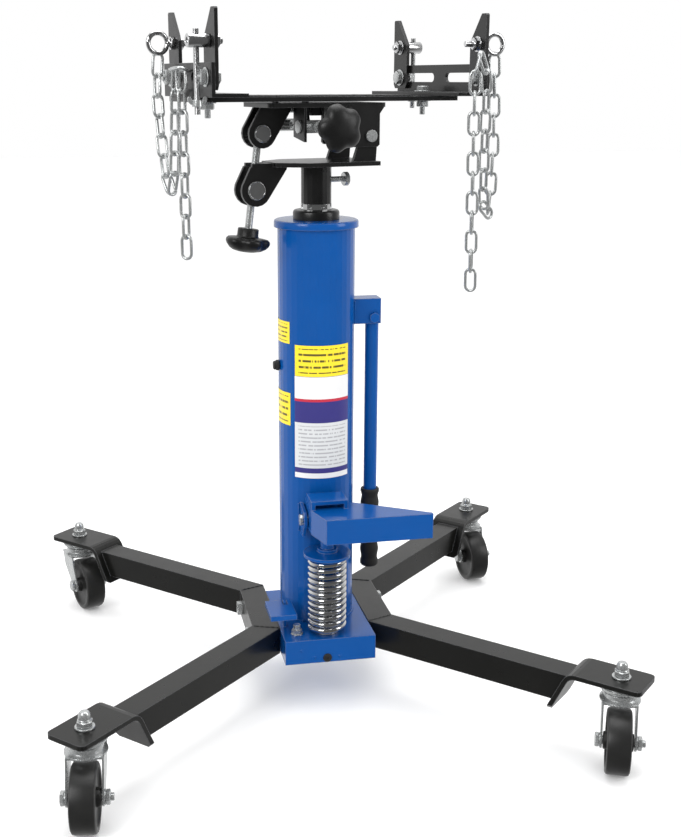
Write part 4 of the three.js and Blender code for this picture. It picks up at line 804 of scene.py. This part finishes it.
RIGHT_CHAIN = [
    (227, -100, 948), (228, -102, 900), (228, -104, 820), (223, -107, 750), (217, -109, 724),
    (210, -112, 750), (202, -122, 820), (196, -132, 900), (191, -134, 940), (184, -135, 949),
    (178, -134, 940), (176, -134, 880), (178, -133, 760), (180, -132, 625),
]
LEFT_CHAIN = [
    (-217, 38, 948), (-221, 34, 900), (-222, 14, 820), (-220, 4, 780), (-218, -4, 768),
    (-216, -11, 782), (-214, -14, 840), (-212.5, -18, 900), (-212, -24, 930), (-212, -32, 938),
    (-212, -39, 928), (-212.5, -42, 880), (-213, -46, 780), (-214, -50, 679),
]
chain("right_chain_links", "right_chain", "right_chain_body", RIGHT_CHAIN, 10, 45)
chain("left_chain_links", "left_chain", "left_chain_body", LEFT_CHAIN, -30, -40)


# ------------------------------------------------------------------ floor, light, camera
bm = bmesh.new()
bmesh.ops.create_grid(bm, x_segments=8, y_segments=8, size=14)
floor_mesh = bpy.data.meshes.new("floor")
bm.to_mesh(floor_mesh)
bm.free()
floor = bpy.data.objects.new("floor", floor_mesh)
bpy.context.scene.collection.objects.link(floor)
floor_mat, floor_tree, floor_bsdf = shade("pale_floor")
floor_noise = node(floor_tree, "ShaderNodeTexNoise", {"Scale": 3.0})
floor_tone = node(floor_tree, "ShaderNodeMapRange", {"Value": floor_noise.outputs["Fac"],
                  "To Min": 0.88, "To Max": 0.9})
floor_tree.links.new(floor_tone.outputs[0], floor_bsdf.inputs["Base Color"])
floor_bsdf.inputs["Roughness"].default_value = 0.7
floor_bsdf.inputs["Specular IOR Level"].default_value = 0.1
floor_bsdf.inputs["Emission Color"].default_value = (1, 1, 1, 1)
floor_bsdf.inputs["Emission Strength"].default_value = 0.14
floor_mesh.materials.append(floor_mat)
floor.visible_glossy = False

world = bpy.data.worlds.new("studio")
bpy.context.scene.world = world
world.use_nodes = True
# White all round, but reflections see a studio that is bright on one side and dim on the other.
sky = world.node_tree
facing = node(sky, "ShaderNodeSeparateXYZ", {0: node(sky, "ShaderNodeTexCoord").outputs["Generated"]})
dimming = node(sky, "ShaderNodeMapRange", {"Value": facing.outputs["Y"], "From Min": -0.5,
               "From Max": 0.7, "To Min": 0.1, "To Max": 0.85})
reflected = node(sky, "ShaderNodeMix", {"Factor": node(sky, "ShaderNodeLightPath").outputs["Is Glossy Ray"],
                 "A": 1.0, "B": dimming.outputs[0]})
sky.links.new(reflected.outputs[0], sky.nodes["Background"].inputs["Strength"])
sky.nodes["Background"].inputs["Color"].default_value = (1, 1, 1, 1)


def softbox(name, place, aim, size, power):
    data = bpy.data.lights.new(name, "AREA")
    data.shape = "RECTANGLE"
    data.size, data.size_y = size
    data.energy = power
    lamp = bpy.data.objects.new(name, data)
    lamp.location = place
    lamp.rotation_euler = (Vector(aim) - Vector(place)).to_track_quat("-Z", "Y").to_euler()
    bpy.context.scene.collection.objects.link(lamp)


softbox("key_left", (-2.4, -2.0, 2.2), (0, 0, 0.5), (1.6, 1.6), 48)
softbox("fill_right", (2.6, -1.4, 1.8), (0, 0, 0.5), (1.2, 2.0), 26)
softbox("top", (0.2, 0.3, 3.0), (0, 0, 0.4), (2.4, 2.4), 45)

scene = bpy.context.scene
scene.view_settings.view_transform = "Standard"
camera_data = bpy.data.cameras.new("camera")
camera_data.sensor_width = 36
camera_data.lens = 53.33
camera_data.shift_x = 0.0305
camera_data.clip_end = 100
camera = bpy.data.objects.new("camera", camera_data)
camera.location = (-0.34105, -1.7615, 0.911)
camera.rotation_euler = (math.radians(90 - 15.279), 0, math.radians(-10.903))
scene.collection.objects.link(camera)
scene.camera = camera
